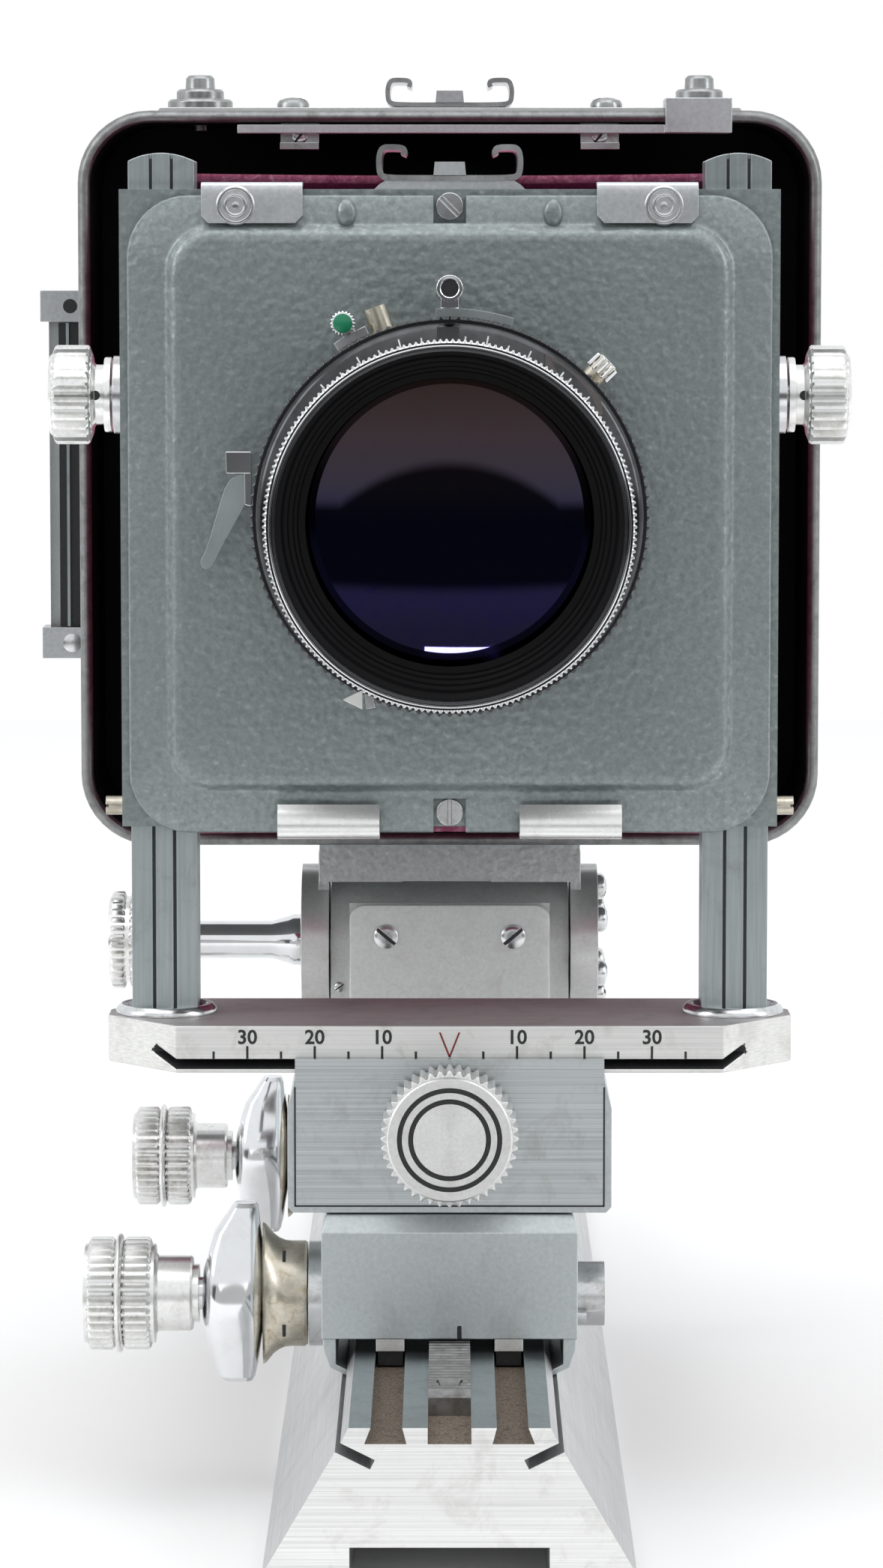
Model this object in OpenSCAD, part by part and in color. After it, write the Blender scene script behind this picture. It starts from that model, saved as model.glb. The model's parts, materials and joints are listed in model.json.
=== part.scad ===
// Small-format monorail view camera: a rail, two standards, a pleated bellows,
// a leaf shutter with its lens, and a back for a sliding holder.
// Frame: origin at the mouth of the tripod thread, X across, +Y from lens to back, Z up.

/* [Rail] */
// Length of the rail
rail_len = 320; // [300:5:400]
// Front end of the rail on the Y axis
rail_front = -152.6; // [-170:0.1:-145]
// Height of the rail
rail_h = 26; // [26:1:26]
// Half width of the rail's foot
rail_foot = 26.3; // [24:0.1:30]
// Distance from the rail's front end to the rack
rack_setback = 19.3; // [12:0.1:25]

/* [Focusing] */
// Gear module of rack and pinions
gear_m = 0.6; // [0.6:0.1:0.6]
// Teeth on each pinion
pinion_teeth = 16; // [16:1:16]
// Radius of each pinion shaft
shaft_r = 2.5; // [2.2:0.1:2.8]
// Centre of the front standard on the Y axis
front_y = -85; // [-90:1:-80]
// Centre of the rear carriage on the Y axis
rear_y = 40; // [38:1:42]

/* [Front standard] */
// Half width of the base bar
bar_half = 51.4; // [50:0.1:53]
// Underside of the base bar
bar_z = 67.9; // [67.9:0.1:67.9]
// Thickness of the base bar
bar_t = 7.1; // [6.5:0.1:7.5]
// Side of each square post
post_w = 9.8; // [9.8:0.1:9.8]
// Distance from the centre to each post's axis
post_x = 42.7; // [42.7:0.1:42.7]
// Top of the posts
post_top = 203.8; // [200:0.1:206]
// Half width of the lens frame
frame_half = 48.7; // [48.7:0.1:49]
// Underside of the lens frame
frame_z0 = 104.1; // [104:0.1:105]
// Top of the lens frame
frame_z1 = 198.4; // [198.4:0.1:198.4]

/* [Lens] */
// Height of the lens axis
lens_z = 151; // [150:0.5:152]
// Radius of the shutter housing
shutter_r = 28.5; // [28.5:0.1:28.5]
// Radius of the chrome front ring
filter_ring_r = 26.1; // [25.6:0.1:26.5]
// Radius of the front glass
glass_r = 20.4; // [19:0.1:20.4]

/* [Rear standard] */
// Width of the rear shell
shell_w = 123.8; // [122:0.1:125]
// Height of the rear shell
shell_h = 122.8; // [122.8:0.1:122.8]
// Underside of the rear shell
shell_z = 90; // [90:0.1:90]
// Depth of the rear shell
shell_d = 36; // [36:1:36]
// Height of the tilt axis
tilt_z = 70; // [70:0.5:70]

/* [Bellows] */
// Number of pleats
pleats = 15; // [12:1:20]
// Depth of each pleat
pleat_d = 3.4; // [2.5:0.1:4]

/* [Hidden] */
$fn = 64;

// colours
steel = [0.72, 0.73, 0.74];
satin = [0.66, 0.68, 0.69];
hammer = [0.49, 0.54, 0.54];
dark = [0.08, 0.08, 0.09];
brass = [0.72, 0.62, 0.42];
glass = [0.16, 0.12, 0.22];
red = [0.62, 0.08, 0.26];

// running clearance on a radius, and the gap between faces that only pass
fit = 0.06;
gap = 0.3;

// slanted slots: both the rail and the base bar are gripped by lips in such slots
slot_run = 0.894;
slot_rise = 0.447;

// rail section
head_half = 14.1;
head_wide = 15.1;
slot_mid = [15.4, 23.1];
slot_half = 0.75;
lip_half = 0.42;
slot_len = 5.2;
groove_z = 23.7;
groove_half = 3.05;
side_groove = [6.6, 11.0];
side_groove_under = [6.0, 11.9];
channel_half = 14;
channel_h = 9;

// rack and pinion
tooth_p = PI * gear_m;
addendum = 0.5;
dedendum = 0.72;
backlash = 0.05;
rack_line = 27;
rack_y0 = rail_front + rack_setback;
rack_y1 = rail_front + rail_len - 14;
rack_teeth = floor((rack_y1 - rack_y0) / tooth_p) - 1;
pinion_r = gear_m * pinion_teeth / 2;
shaft_z = rack_line + pinion_r + fit;

// tripod parts
block_len = 52;
bush_r = 4.76;
thread_r = 2.55;

// carriage
carriage_half = 19.05;
carriage_len = 34;
carriage_z0 = 28.2;
carriage_z1 = 46.8;
bend_z = 44.2;
stud_r = 5;
stud_z = 40;
seat_r = 7.95;
seat_t = 2.2;
cap_r = 4.9;
cap_t = 4.4;
sleeve_x1 = -21.5;
sleeve_r = 4;
collar_r = 8;
knob_x0 = -55.2;
knob_x1 = -44.8;
knob_r = 8.6;

// front standard
cradle_half = 24.05;
cradle_z = 47.1;
cradle_t = 1.1;
cradle_len = 32;
shift_block_half = cradle_half - 1.15;
shift_block_z1 = bar_z - 0.4;
bar_half_depth = 15;
plate_t = 1.2;
bar_slot_z = 69.2;
bar_slot_half = 0.6;
bar_lip_half = 0.3;
bar_top = bar_z + bar_t;
bar_face_half = 40.6;
bar_end_half = 3;
tenon_r = 3.5;
ring_r = 7.65;
ring_t = 1.4;
shift_knob_z = 59.7;
frame_y0 = front_y - 9;
frame_y1 = front_y + 9;
post_play = 0.2;
board_t = 1.5;
board_front = frame_y0 - board_t;
plateau_y = frame_y0 - 3.3;
board_mid_z = 150.4;
plateau_mid_z = 151.4;
rise_knob_z = 168;
latch_x = 29.05;
latch_w = 14.9;
hook_x = 17.95;
hook_w = 15.1;
shoe_half = 10.85;
shoe_len = 18;

// shutter and lens
housing_t = 15.7;
housing_y = plateau_y - housing_t;
tube_r = 17.3;
cell_r = 16;
neck_r = 20;
hood_r = 25.2;
hood_y = housing_y - 25.5;
filter_bore = 24.2;
lever_r0 = shutter_r + gap;
lever_r1 = shutter_r + 1.6;

// rear standard
shell_y = 8;
shell_back = shell_y + shell_d;
shell_t = 1.9;
shell_mid_z = shell_z + shell_h / 2;
shell_top = shell_z + shell_h;
strip_t = 0.8;
box_half = 20.5;
ear_x0 = 20.8;
ear_x1 = 25.6;
ear_r = 13.3;
tilt_shaft_r = 3.3;
yoke_z = 83.4;
holder_z0 = 118.7;
holder_z1 = 182.8;
holder_x0 = -71.2;
holder_x1 = 50;
holder_y0 = shell_back + 4.3;
holder_t = 5.6;
back_lock_x = 42.3;
back_lock_y = 28;

module pin_x(r, x0, x1, y, z) {
    translate([x0, y, z]) rotate([0, 90, 0]) cylinder(r = r, h = x1 - x0);
}

module pin_y(r, y0, y1, x, z) {
    translate([x, y0, z]) rotate([-90, 0, 0]) cylinder(r = r, h = y1 - y0);
}

module pin_z(r, z0, z1, x, y) {
    translate([x, y, z0]) cylinder(r = r, h = z1 - z0);
}

module box(x0, x1, y0, y1, z0, z1) {
    translate([x0, y0, z0]) cube([x1 - x0, y1 - y0, z1 - z0]);
}

// an XZ outline drawn out along Y, from y0 to y1
module along_y(y0, y1) {
    translate([0, y1, 0]) rotate([90, 0, 0]) linear_extrude(y1 - y0) children();
}

// a YZ outline drawn out along X, from x0 to x1
module along_x(x0, x1) {
    translate([x0, 0, 0]) rotate([90, 0, 90]) linear_extrude(x1 - x0) children();
}

module round_rect(w, h, r) {
    square([w - 2 * r, h], center = true);
    square([w, h - 2 * r], center = true);
    for (x = [-1, 1], z = [-1, 1])
        translate([x * (w / 2 - r), z * (h / 2 - r)]) circle(r);
}

module both_sides() {
    children();
    mirror([1, 0, 0]) children();
}

// a ring of n pointed ridges
function ridge_points(n, r0, r1) = [for (i = [0 : 2 * n - 1])
    let (r = i % 2 == 0 ? r1 : r0, a = i * 180 / n) [r * cos(a), r * sin(a)]];

// a ring of n flat-topped ridges
function flute_points(n, r0, r1) = [for (i = [0 : n - 1], s = [0 : 3])
    let (a = (i + [0.1, 0.2, 0.6, 0.7][s]) * 360 / n, r = s == 0 || s == 3 ? r0 : r1)
    [r * cos(a), r * sin(a)]];

function turned(p, a) = [p[0] * cos(a) - p[1] * sin(a), p[0] * sin(a) + p[1] * cos(a)];

// slot or lip outline along a slanted centre line: from t0 to t1, half thickness h,
// running outwards and up for up = 1, inwards and up for up = -1
function slant(mid, t0, t1, h, up) = let (d = [slot_run, up * slot_rise], n = [-up * slot_rise, slot_run])
    [mid + t0 * d - h * n, mid + t1 * d - h * n, mid + t1 * d + h * n, mid + t0 * d + h * n];

// involute pinion outline with one tooth pointing along a
function inv_deg(r, rb) = let (al = acos(min(1, rb / r))) tan(al) * 180 / PI - al;
function pinion_points(a) = let (
    rb = pinion_r * cos(20),
    half = 90 / pinion_teeth - backlash / pinion_r * 180 / PI,
    lead = half + inv_deg(pinion_r, rb),
    radii = [pinion_r - dedendum, rb, pinion_r - 0.1, pinion_r + 0.15, pinion_r + addendum])
    [for (k = [0 : pinion_teeth - 1], s = [-1, 1], i = [0 : 4])
        let (r = radii[s < 0 ? i : 4 - i], b = lead - inv_deg(max(r, rb), rb))
        turned([r, 0], a + k * 360 / pinion_teeth + s * b)];

// angle that brings a tooth of the pinion at y into the nearest gap of the rack
function mesh_angle(y) = let (
    k = round((y - rack_y0) / tooth_p - 0.5),
    off = rack_y0 + (k + 0.5) * tooth_p - y)
    -90 + off / pinion_r * 180 / PI;

function rack_points() = let (
    half = tooth_p / 4 - backlash / 2,
    tip = half - addendum * tan(20),
    foot = half + dedendum * tan(20),
    low = rack_line - dedendum,
    high = rack_line + addendum)
    concat([[rack_y0 - tooth_p / 2, groove_z], [rack_y0 - tooth_p / 2, low]],
        [for (k = [0 : rack_teeth], s = [0 : 3])
            [rack_y0 + k * tooth_p + [-foot, -tip, tip, foot][s], [low, high, high, low][s]]],
        [[rack_y0 + (rack_teeth + 0.5) * tooth_p, low],
         [rack_y0 + (rack_teeth + 0.5) * tooth_p, groove_z]]);

// ---------------------------------------------------------------- rail

rack_screw_y = [rack_y0 + 2 * tooth_p + tooth_p / 2, -30, 60, rack_y1 - 4 * tooth_p];
block_screw_y = [-20, 20];

module rail_section() {
    difference() {
        union() {
            polygon([[-rail_foot, 0], [rail_foot, 0], [rail_foot, 5], [16.1, 22.4],
                [head_wide, 24.1], [head_half, rail_h], [-head_half, rail_h],
                [-head_wide, 24.1], [-16.1, 22.4], [-rail_foot, 5]]);
        }
        both_sides() polygon(slant(slot_mid, -slot_len, 2, slot_half, 1));
        translate([-groove_half, groove_z]) square([2 * groove_half, 4]);
        both_sides() polygon([[side_groove[0], rail_h + 0.01], [side_groove[1], rail_h + 0.01],
            [side_groove_under[1], groove_z], [side_groove_under[0], groove_z]]);
        translate([-channel_half, -1]) square([2 * channel_half, channel_h + 1]);
    }
}

module rail() {
    color(satin) difference() {
        along_y(rail_front, rail_front + rail_len) rail_section();
        for (y = rack_screw_y) pin_z(1, groove_z - 6, groove_z + 1, 0, y);
        for (y = block_screw_y) pin_z(2, channel_h - 1, channel_h + 6, 0, y);
    }
}

module rail_rack() {
    color(steel) difference() {
        along_x(-groove_half, groove_half) polygon(rack_points());
        for (y = rack_screw_y) {
            pin_z(1, groove_z - 1, groove_z + 4, 0, y);
            pin_z(2, groove_z + 1.2, groove_z + 5, 0, y);
        }
    }
}

module rail_screws() {
    color(steel) {
        for (y = rack_screw_y) difference() {
            union() {
                pin_z(1, groove_z - 5.8, groove_z + 1.2, 0, y);
                pin_z(2, groove_z + 1.2, groove_z + 2.4, 0, y);
            }
            box(-2.5, 2.5, y - 0.25, y + 0.25, groove_z + 1.8, groove_z + 3);
        }
        for (y = block_screw_y) difference() {
            union() {
                pin_z(2, 2.6, channel_h + 5.8, 0, y);
                pin_z(3.6, 0.4, 2.6, 0, y);
            }
            box(-4, 4, y - 0.5, y + 0.5, 0, 1.4);
        }
    }
}

module tripod_block() {
    color(steel) difference() {
        box(-channel_half, channel_half, -block_len / 2, block_len / 2, 0, channel_h);
        pin_z(bush_r, -1, channel_h + 1, 0, 0);
        for (y = block_screw_y) {
            pin_z(2, 2, channel_h + 1, 0, y);
            pin_z(3.6, -1, 2.6, 0, y);
        }
    }
}

module tripod_bush() {
    color(brass) difference() {
        pin_z(bush_r, 0, channel_h, 0, 0);
        pin_z(thread_r, -1, channel_h + 1, 0, 0);
        box(-5, 5, -0.6, 0.6, -1, 1);
    }
}

// ---------------------------------------------------------------- carriages

module carriage(y) {
    translate([0, y, 0]) difference() {
        union() {
            intersection() {
                along_y(-carriage_len / 2, carriage_len / 2)
                    polygon([[-carriage_half, carriage_z0], [carriage_half, carriage_z0],
                        [carriage_half, bend_z], [carriage_half - 0.7, carriage_z1],
                        [0.7 - carriage_half, carriage_z1], [-carriage_half, bend_z]]);
                along_x(-carriage_half, carriage_half)
                    polygon([[-carriage_len / 2, carriage_z0], [carriage_len / 2, carriage_z0],
                        [carriage_len / 2, bend_z], [carriage_len / 2 - 1.6, carriage_z1],
                        [1.6 - carriage_len / 2, carriage_z1], [-carriage_len / 2, bend_z]]);
            }
            both_sides() along_y(0.4 - carriage_len / 2, carriage_len / 2 - 0.4) carriage_claw();
        }
        box(-4.2, 4.2, -6.2, 6.2, carriage_z0 - 1, 38.2);
        pin_x(shaft_r + fit, -carriage_half - 1, carriage_half + 1, 0, shaft_z);
        pin_z(stud_r + fit, stud_z, carriage_z1 + 1, 0, 0);
        box(1.2, 1.7, -carriage_len / 2 - 1, 0.4 - carriage_len / 2, carriage_z0 - 1, carriage_z0 + 1.9);
    }
}

// one lip that reaches down and into a slot of the rail
module carriage_claw() {
    lip = slant(slot_mid, -4.4, 2.6, lip_half, 1);
    polygon([[16.9, carriage_z0 + 0.5], [18.9, carriage_z0 + 0.5], [18.8, 26.5], lip[1],
        lip[0], lip[3], [16.9, 24.33]]);
}

module guide_shoes(y) {
    color(steel) both_sides() {
        box(6.7, 10.95, y - carriage_len / 2 + 0.2, y + carriage_len / 2 - 0.2,
            rail_h + gap, carriage_z0);
        box(6.9, 10.7, y - carriage_len / 2 + 1, y + carriage_len / 2 - 1,
            groove_z + gap, rail_h + gap);
    }
}

// ring seat of the lock lever on the left, closed cap with its screw on the right
module shaft_bearings(y) {
    color(steel) {
        difference() {
            pin_x(seat_r, -carriage_half - seat_t, -carriage_half, y, shaft_z);
            pin_x(shaft_r + fit, -30, 0, y, shaft_z);
        }
        difference() {
            pin_x(cap_r, carriage_half, carriage_half + cap_t, y, shaft_z);
            pin_x(shaft_r + fit, 0, carriage_half + cap_t - 1, y, shaft_z);
        }
    }
    color(brass) pin_x(0.9, carriage_half, carriage_half + 1.6, y - 5.2, carriage_z0 + 1.2);
}

module lock_lever(y) {
    color(steel) translate([0, y, shaft_z]) difference() {
        union() {
            intersection() {
                along_y(-5.5, 5.5) polygon([[-34.2, 14], [-30.2, 14], [-27.9, 9], [-28.2, -8.5],
                    [-30.2, -13.3], [-34.6, -13.3], [-37.6, -7.5], [-37.6, 6.5]]);
                along_x(-38, -27) {
                    circle(5.5);
                    polygon([[-5.4, 1], [-2.6, 14.2], [2.6, 14.2], [5.4, 1], [5.4, -1],
                        [2.6, -13.6], [-2.6, -13.6], [-5.4, -1]]);
                }
            }
            pin_x(sleeve_r, -30, sleeve_x1, 0, 0);
        }
        pin_x(shaft_r + fit, -40, -20, 0, 0);
    }
}

module lock_collar(y) {
    color(brass) difference() {
        pin_x(collar_r, -27.8, sleeve_x1, y, shaft_z);
        pin_x(sleeve_r, -40, -20, y, shaft_z);
        for (a = [35 : 90 : 305])
            translate([0, y, shaft_z]) rotate([a, 0, 0]) box(-28, -23.4, -0.5, 0.5, 5.6, 9);
    }
}

module pinion_shaft(y) {
    color(steel) {
        pin_x(shaft_r, knob_x0 + 3, carriage_half + cap_t - 1.3, y, shaft_z);
        translate([0, y, shaft_z]) along_x(-groove_half, groove_half)
            polygon(pinion_points(mesh_angle(y)));
    }
}

module focus_knob(y) {
    color(satin) translate([0, y, shaft_z]) difference() {
        union() {
            for (x = [knob_x0 + 0.6, knob_x0 + 5.7])
                along_x(x, x + 4.1) polygon(flute_points(38, knob_r - 0.55, knob_r));
            pin_x(knob_r + 0.45, knob_x0 + 4.7, knob_x0 + 5.7, 0, 0);
            pin_x(knob_r - 0.9, knob_x0, knob_x1, 0, 0);
            pin_x(5.7, knob_x1, -38.9, 0, 0);
            pin_x(4.4, -38.9, -38, 0, 0);
        }
        pin_x(shaft_r, knob_x0 + 3, -30, 0, 0);
    }
}

// ---------------------------------------------------------------- front standard, lower part

module front_cradle() {
    color(satin) along_y(front_y - cradle_len / 2, front_y + cradle_len / 2)
        difference() {
            polygon([[-cradle_half, cradle_z + 0.8], [0.8 - cradle_half, cradle_z],
                [cradle_half - 0.8, cradle_z], [cradle_half, cradle_z + 0.8],
                [cradle_half, 62.7], [shift_block_half + 0.2, 66.4], [-shift_block_half - 0.2, 66.4],
                [-cradle_half, 62.7]]);
            translate([-shift_block_half, cradle_z + cradle_t])
                square([2 * shift_block_half, 30]);
        }
    color(steel) pin_z(stud_r, stud_z + 0.3, cradle_z, 0, front_y);
}

// section of the fixed shift block, with the lips that hold the base bar
module shift_block_section() {
    lip = slant([bar_half_depth + gap, bar_slot_z - 0.15], -3.8, 0.6, bar_lip_half, -1);
    translate([-bar_half_depth - gap, cradle_z + cradle_t])
        square([2 * (bar_half_depth + gap), shift_block_z1 - cradle_z - cradle_t]);
    both_sides() {
        translate([bar_half_depth + gap, cradle_z + cradle_t])
            square([plate_t, 70.2 - cradle_z - cradle_t]);
        polygon(lip);
    }
}

module front_shift_block() {
    color(satin) translate([0, front_y, 0]) difference() {
        along_x(-shift_block_half, shift_block_half) shift_block_section();
        pin_y(shaft_r + fit, -20, 0, 0, shift_knob_z);
        pin_y(6, -2, 8, 0, shift_knob_z);
        pin_z(3 + fit, shift_knob_z, shift_block_z1 + 1, 0, 3);
    }
}

module shift_lock_knob() {
    y1 = front_y - bar_half_depth - gap - plate_t - 0.5;
    color(satin) translate([0, 0, shift_knob_z]) difference() {
        union() {
            translate([0, y1 - 1.2, 0]) rotate([90, 0, 0]) linear_extrude(7.4)
                polygon(ridge_points(44, 9.35, 10.25));
            pin_y(9.1, y1 - 9.4, y1 - 1, 0, 0);
            pin_y(5.4, y1 - 2, y1, 0, 0);
            pin_y(shaft_r, y1 - 1, front_y - 1, 0, 0);
        }
        for (r = [5.7, 7.35]) translate([0, y1 - 9.2, 0]) rotate([90, 0, 0]) difference() {
            cylinder(r = r + 0.3, h = 2);
            translate([0, 0, -1]) cylinder(r = r - 0.3, h = 4);
        }
    }
}

module bar_plan() {
    polygon([[-bar_face_half, -bar_half_depth], [bar_face_half, -bar_half_depth],
        [bar_half, -bar_end_half], [bar_half, bar_end_half], [bar_face_half, bar_half_depth],
        [-bar_face_half, bar_half_depth], [-bar_half, bar_end_half], [-bar_half, -bar_end_half]]);
}

module base_bar() {
    color(satin) translate([0, front_y, 0]) difference() {
        translate([0, 0, bar_z]) linear_extrude(bar_t) bar_plan();
        along_x(-bar_half - 1, bar_half + 1) both_sides()
            polygon(slant([bar_half_depth, bar_slot_z], -4.4, 14, bar_slot_half, -1));
        for (i = [-7 : 7]) translate([5 * i, -bar_half_depth - 0.1, bar_slot_z + 0.8])
            translate([-0.17, 0, 0]) cube([0.34, 0.4, i % 2 == 0 ? 2 : 1.1]);
        both_sides() pin_z(tenon_r, bar_z - 1, bar_top + 1, post_x, 0);
    }
}

module post(x) {
    half = post_w / 2;
    dome_r = 10.6;
    color(hammer) translate([x, front_y, 0]) difference() {
        union() {
            intersection() {
                box(-half, half, -half, half, bar_top, post_top);
                union() {
                    box(-half, half, -half, half, bar_top, post_top - dome_r);
                    pin_y(dome_r, -half, half, 0, post_top - dome_r);
                }
            }
            pin_z(tenon_r, bar_z + 0.2, bar_top, 0, 0);
        }
        for (x = [-1.55, 1.55])
            box(x - 0.22, x + 0.22, -half - 1, 0.6 - half, bar_top - 1, post_top + 1);
    }
}

module post_rings() {
    color(steel) both_sides() translate([post_x, front_y, bar_top]) difference() {
        cylinder(r = ring_r, h = ring_t);
        translate([-post_w / 2, -post_w / 2, -1]) cube([post_w, post_w, ring_t + 2]);
    }
}

// ---------------------------------------------------------------- lens frame and board

module lens_frame() {
    channel = post_w / 2 + post_play;
    color(hammer) difference() {
        box(-frame_half, frame_half, frame_y0, frame_y1, frame_z0, frame_z1);
        box(-36, 36, frame_y0 - 1, frame_y1 + 1, frame_z0 + 8, frame_z1 - 8);
        both_sides() {
            box(post_x - channel, post_x + channel, front_y - channel, front_y + channel,
                frame_z0 - 1, frame_z1 + 1);
            pin_x(2, post_x, frame_half + 1, front_y, rise_knob_z);
            pin_x(1.4, post_x + channel - 0.5, frame_half + 1, front_y - 7.3, frame_z0 + 3);
        }
        for (z = [frame_z0 + 2.2, frame_z1 - 2.5]) pin_y(1.2, frame_y0 - 1, frame_y0 + 6, 0, z);
    }
}

module lensboard() {
    color(hammer) difference() {
        union() {
            translate([0, 0, board_mid_z]) along_y(board_front, frame_y0) round_rect(95, 94.2, 9);
            translate([0, 0, plateau_mid_z]) along_y(plateau_y, frame_y0) round_rect(82.8, 82.8, 6);
        }
        translate([0, 0, plateau_mid_z]) along_y(plateau_y + board_t, frame_y0 + 1)
            round_rect(79.8, 79.8, 4.5);
        pin_y(tube_r, plateau_y - 1, frame_y0 + 1, 0, lens_z);
        box(-2.4, 2.4, plateau_y - 1, frame_y0 + 1, 193.4, 200);
        box(-2.4, 2.4, plateau_y - 1, frame_y0 + 1, 100, 108.4);
        pin_y(2.4, plateau_y - 1, frame_y0 + 1, 0, 108.4);
    }
}

module board_hooks() {
    color(steel) both_sides() along_x(hook_x - hook_w / 2, hook_x + hook_w / 2) {
        y = board_front;
        polygon([[frame_y0 + 5, frame_z0 - 1.75], [y - 2.2, frame_z0 - 1.75], [y - 3, frame_z0 - 1],
            [y - 2.7, frame_z0 + 3.5], [y - 2.1, frame_z0 + 3.5], [y - 2.3, frame_z0 - 0.9],
            [y - 2, frame_z0 - 1.1], [frame_y0 + 0.1, frame_z0 - 1.1], [frame_y0 + 0.1, frame_z0],
            [frame_y0 + 5, frame_z0]]);
    }
}

// two slotted screws seen in the board's notches, two guide pins, two bushes of the rise knobs
module frame_fittings() {
    color(steel) for (z = [frame_z0 + 2.2, frame_z1 - 2.5]) difference() {
        union() {
            pin_y(1.2, frame_y0, frame_y0 + 5.8, 0, z);
            pin_y(2, frame_y0 - 1.3, frame_y0, 0, z);
        }
        translate([0, frame_y0 - 1.3, z]) rotate([0, z < lens_z ? 90 : 45, 0])
            box(-2.5, 2.5, -1, 0.6, -0.3, 0.3);
    }
    color(brass) both_sides() difference() {
        pin_x(1.4, frame_half - 0.7, frame_half + 2.5, front_y - 7.3, frame_z0 + 3);
        box(frame_half + 2, frame_half + 3, front_y - 9, front_y - 5, frame_z0 + 2.8, frame_z0 + 3.2);
    }
    color(steel) both_sides() difference() {
        union() {
            pin_x(5.8, frame_half, frame_half + 1.4, front_y, rise_knob_z);
            pin_x(2, frame_half - 0.7, frame_half, front_y, rise_knob_z);
        }
        pin_x(1.5 + fit, frame_half - 2, frame_half + 3, front_y, rise_knob_z);
    }
}

module latch(x) {
    color(steel) translate([x, 0, 0]) {
        difference() {
            union() {
                box(-latch_w / 2, latch_w / 2, board_front - 1, board_front - gap, 193.4, 199.4);
                box(-latch_w / 2, latch_w / 2, board_front - 1, frame_y0 + 3, frame_z1 + gap, 199.4);
            }
            for (s = [-1, 1]) translate([s * latch_w / 2, 0, 193.4]) rotate([0, 45, 0])
                cube([1.2, 250, 1.2], center = true);
        }
        translate([x > 0 ? 2.4 : -2.4, 0, 0]) pin_y(1.2, board_front - 1.5, board_front - 0.9, 0, 195.9);
    }
}

module rise_knob() {
    x0 = frame_half + 1.7;
    color(satin) translate([0, front_y, rise_knob_z]) {
        pin_x(1.5, post_x + post_w / 2 + 0.25, x0, 0, 0);
        pin_x(5, x0, x0 + 3.2, 0, 0);
        along_x(x0 + 3.4, x0 + 8.8) polygon(flute_points(26, 6.7, 7.4));
        pin_x(6.6, x0 + 3, x0 + 9.2, 0, 0);
    }
}

// accessory shoe: two lips over a flat base, with a stop at its front end
module shoe(y, z, base, h) {
    top = base + h;
    translate([0, 0, z]) {
        color(steel) along_y(y - shoe_len / 2, y + shoe_len / 2) {
            translate([-shoe_half, base]) square([2 * shoe_half, 1.1]);
            both_sides() {
                translate([shoe_half - 1.1, base]) square([1.1, h]);
                translate([shoe_half - 4.3, top - 1.1]) square([4.3, 1.1]);
                translate([shoe_half - 4.3, top - 1.8]) square([0.9, 1.5]);
            }
        }
        color(satin) {
            if (base > 0) along_y(y - shoe_len / 2 + 0.5, y + shoe_len / 2 - 0.5)
                polygon([[-11.2, 0], [11.2, 0], [9.8, base], [-9.8, base]]);
            box(-2.4, 2.4, y - shoe_len / 2, y - shoe_len / 2 + 2.4, base + 1.1, base + 2.9);
        }
    }
}

// ---------------------------------------------------------------- shutter and lens

// things drawn about the lens axis: local +Z points out of the lens, local Y up
module on_lens(y) {
    translate([0, y, lens_z]) rotate([90, 0, 0]) children();
}

module ring(r0, r1, h) {
    difference() {
        cylinder(r = r1, h = h);
        translate([0, 0, -1]) cylinder(r = r0, h = h + 2);
    }
}

// part of a ring between two angles, measured from +X towards +Z
module ring_part(r0, r1, h, a0, a1) {
    linear_extrude(h) intersection() {
        difference() {
            circle(r1);
            circle(r0);
        }
        polygon([[0, 0], [60 * cos(a0), 60 * sin(a0)],
            [60 * cos((a0 + a1) / 2), 60 * sin((a0 + a1) / 2)], [60 * cos(a1), 60 * sin(a1)]]);
    }
}

module shutter_housing() {
    color(dark) on_lens(plateau_y) difference() {
        union() {
            ring(cell_r, shutter_r, housing_t);
            translate([0, 0, -6.8]) ring(cell_r, tube_r, 7);
        }
        for (a = [44, 110]) rotate([0, 0, a]) translate([shutter_r - 3, 0, 7.5])
            rotate([0, 90, 0]) cylinder(r = 1.7, h = 5);
    }
    // flash contact and cable release sockets
    color(brass) on_lens(plateau_y) for (a = [44, 110]) rotate([0, 0, a])
        translate([shutter_r - 3, 0, 7.5]) rotate([0, 90, 0]) difference() {
            cylinder(r = 1.7, h = 6.6);
            translate([0, 0, 1.5]) cylinder(r = 0.9, h = 6);
        }
}

module retaining_ring() {
    color(steel) on_lens(plateau_y + board_t + 2.5) difference() {
        ring(tube_r, 20.5, 2.5);
        for (a = [0, 90]) rotate([0, 0, a]) translate([-25, -0.8, -1]) cube([50, 1.6, 2]);
    }
}

module front_lens_cell() {
    color(dark) on_lens(housing_y) rotate_extrude() polygon([[14.5, -7], [cell_r, -7],
        [cell_r, 0], [neck_r, 0], [neck_r, 6], [hood_r, 15], [hood_r, 25.5], [24.3, 25.5],
        [23.8, 21], [21.6, 15.4], [glass_r, 15], [glass_r, 10], [16.8, 9.6], [14.5, 4]]);
}

module front_lens_glass() {
    dome = 106;
    color(glass) on_lens(housing_y) intersection() {
        translate([0, 0, 10.2]) cylinder(r = glass_r, h = 12);
        translate([0, 0, 17.3 - dome]) sphere(r = dome, $fn = 128);
    }
}

module filter_ring() {
    color(steel) on_lens(hood_y) difference() {
        linear_extrude(3.5) difference() {
            polygon(ridge_points(150, filter_ring_r - 0.4, filter_ring_r));
            circle(filter_bore);
        }
    }
}

module rear_lens_cell() {
    color(dark) on_lens(plateau_y) rotate_extrude() polygon([[14, -13.8], [14.8, -13.8],
        [cell_r, -12.6], [cell_r, 3], [12.8, 3], [12.8, -2.5], [14, -2.5]]);
}

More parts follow.
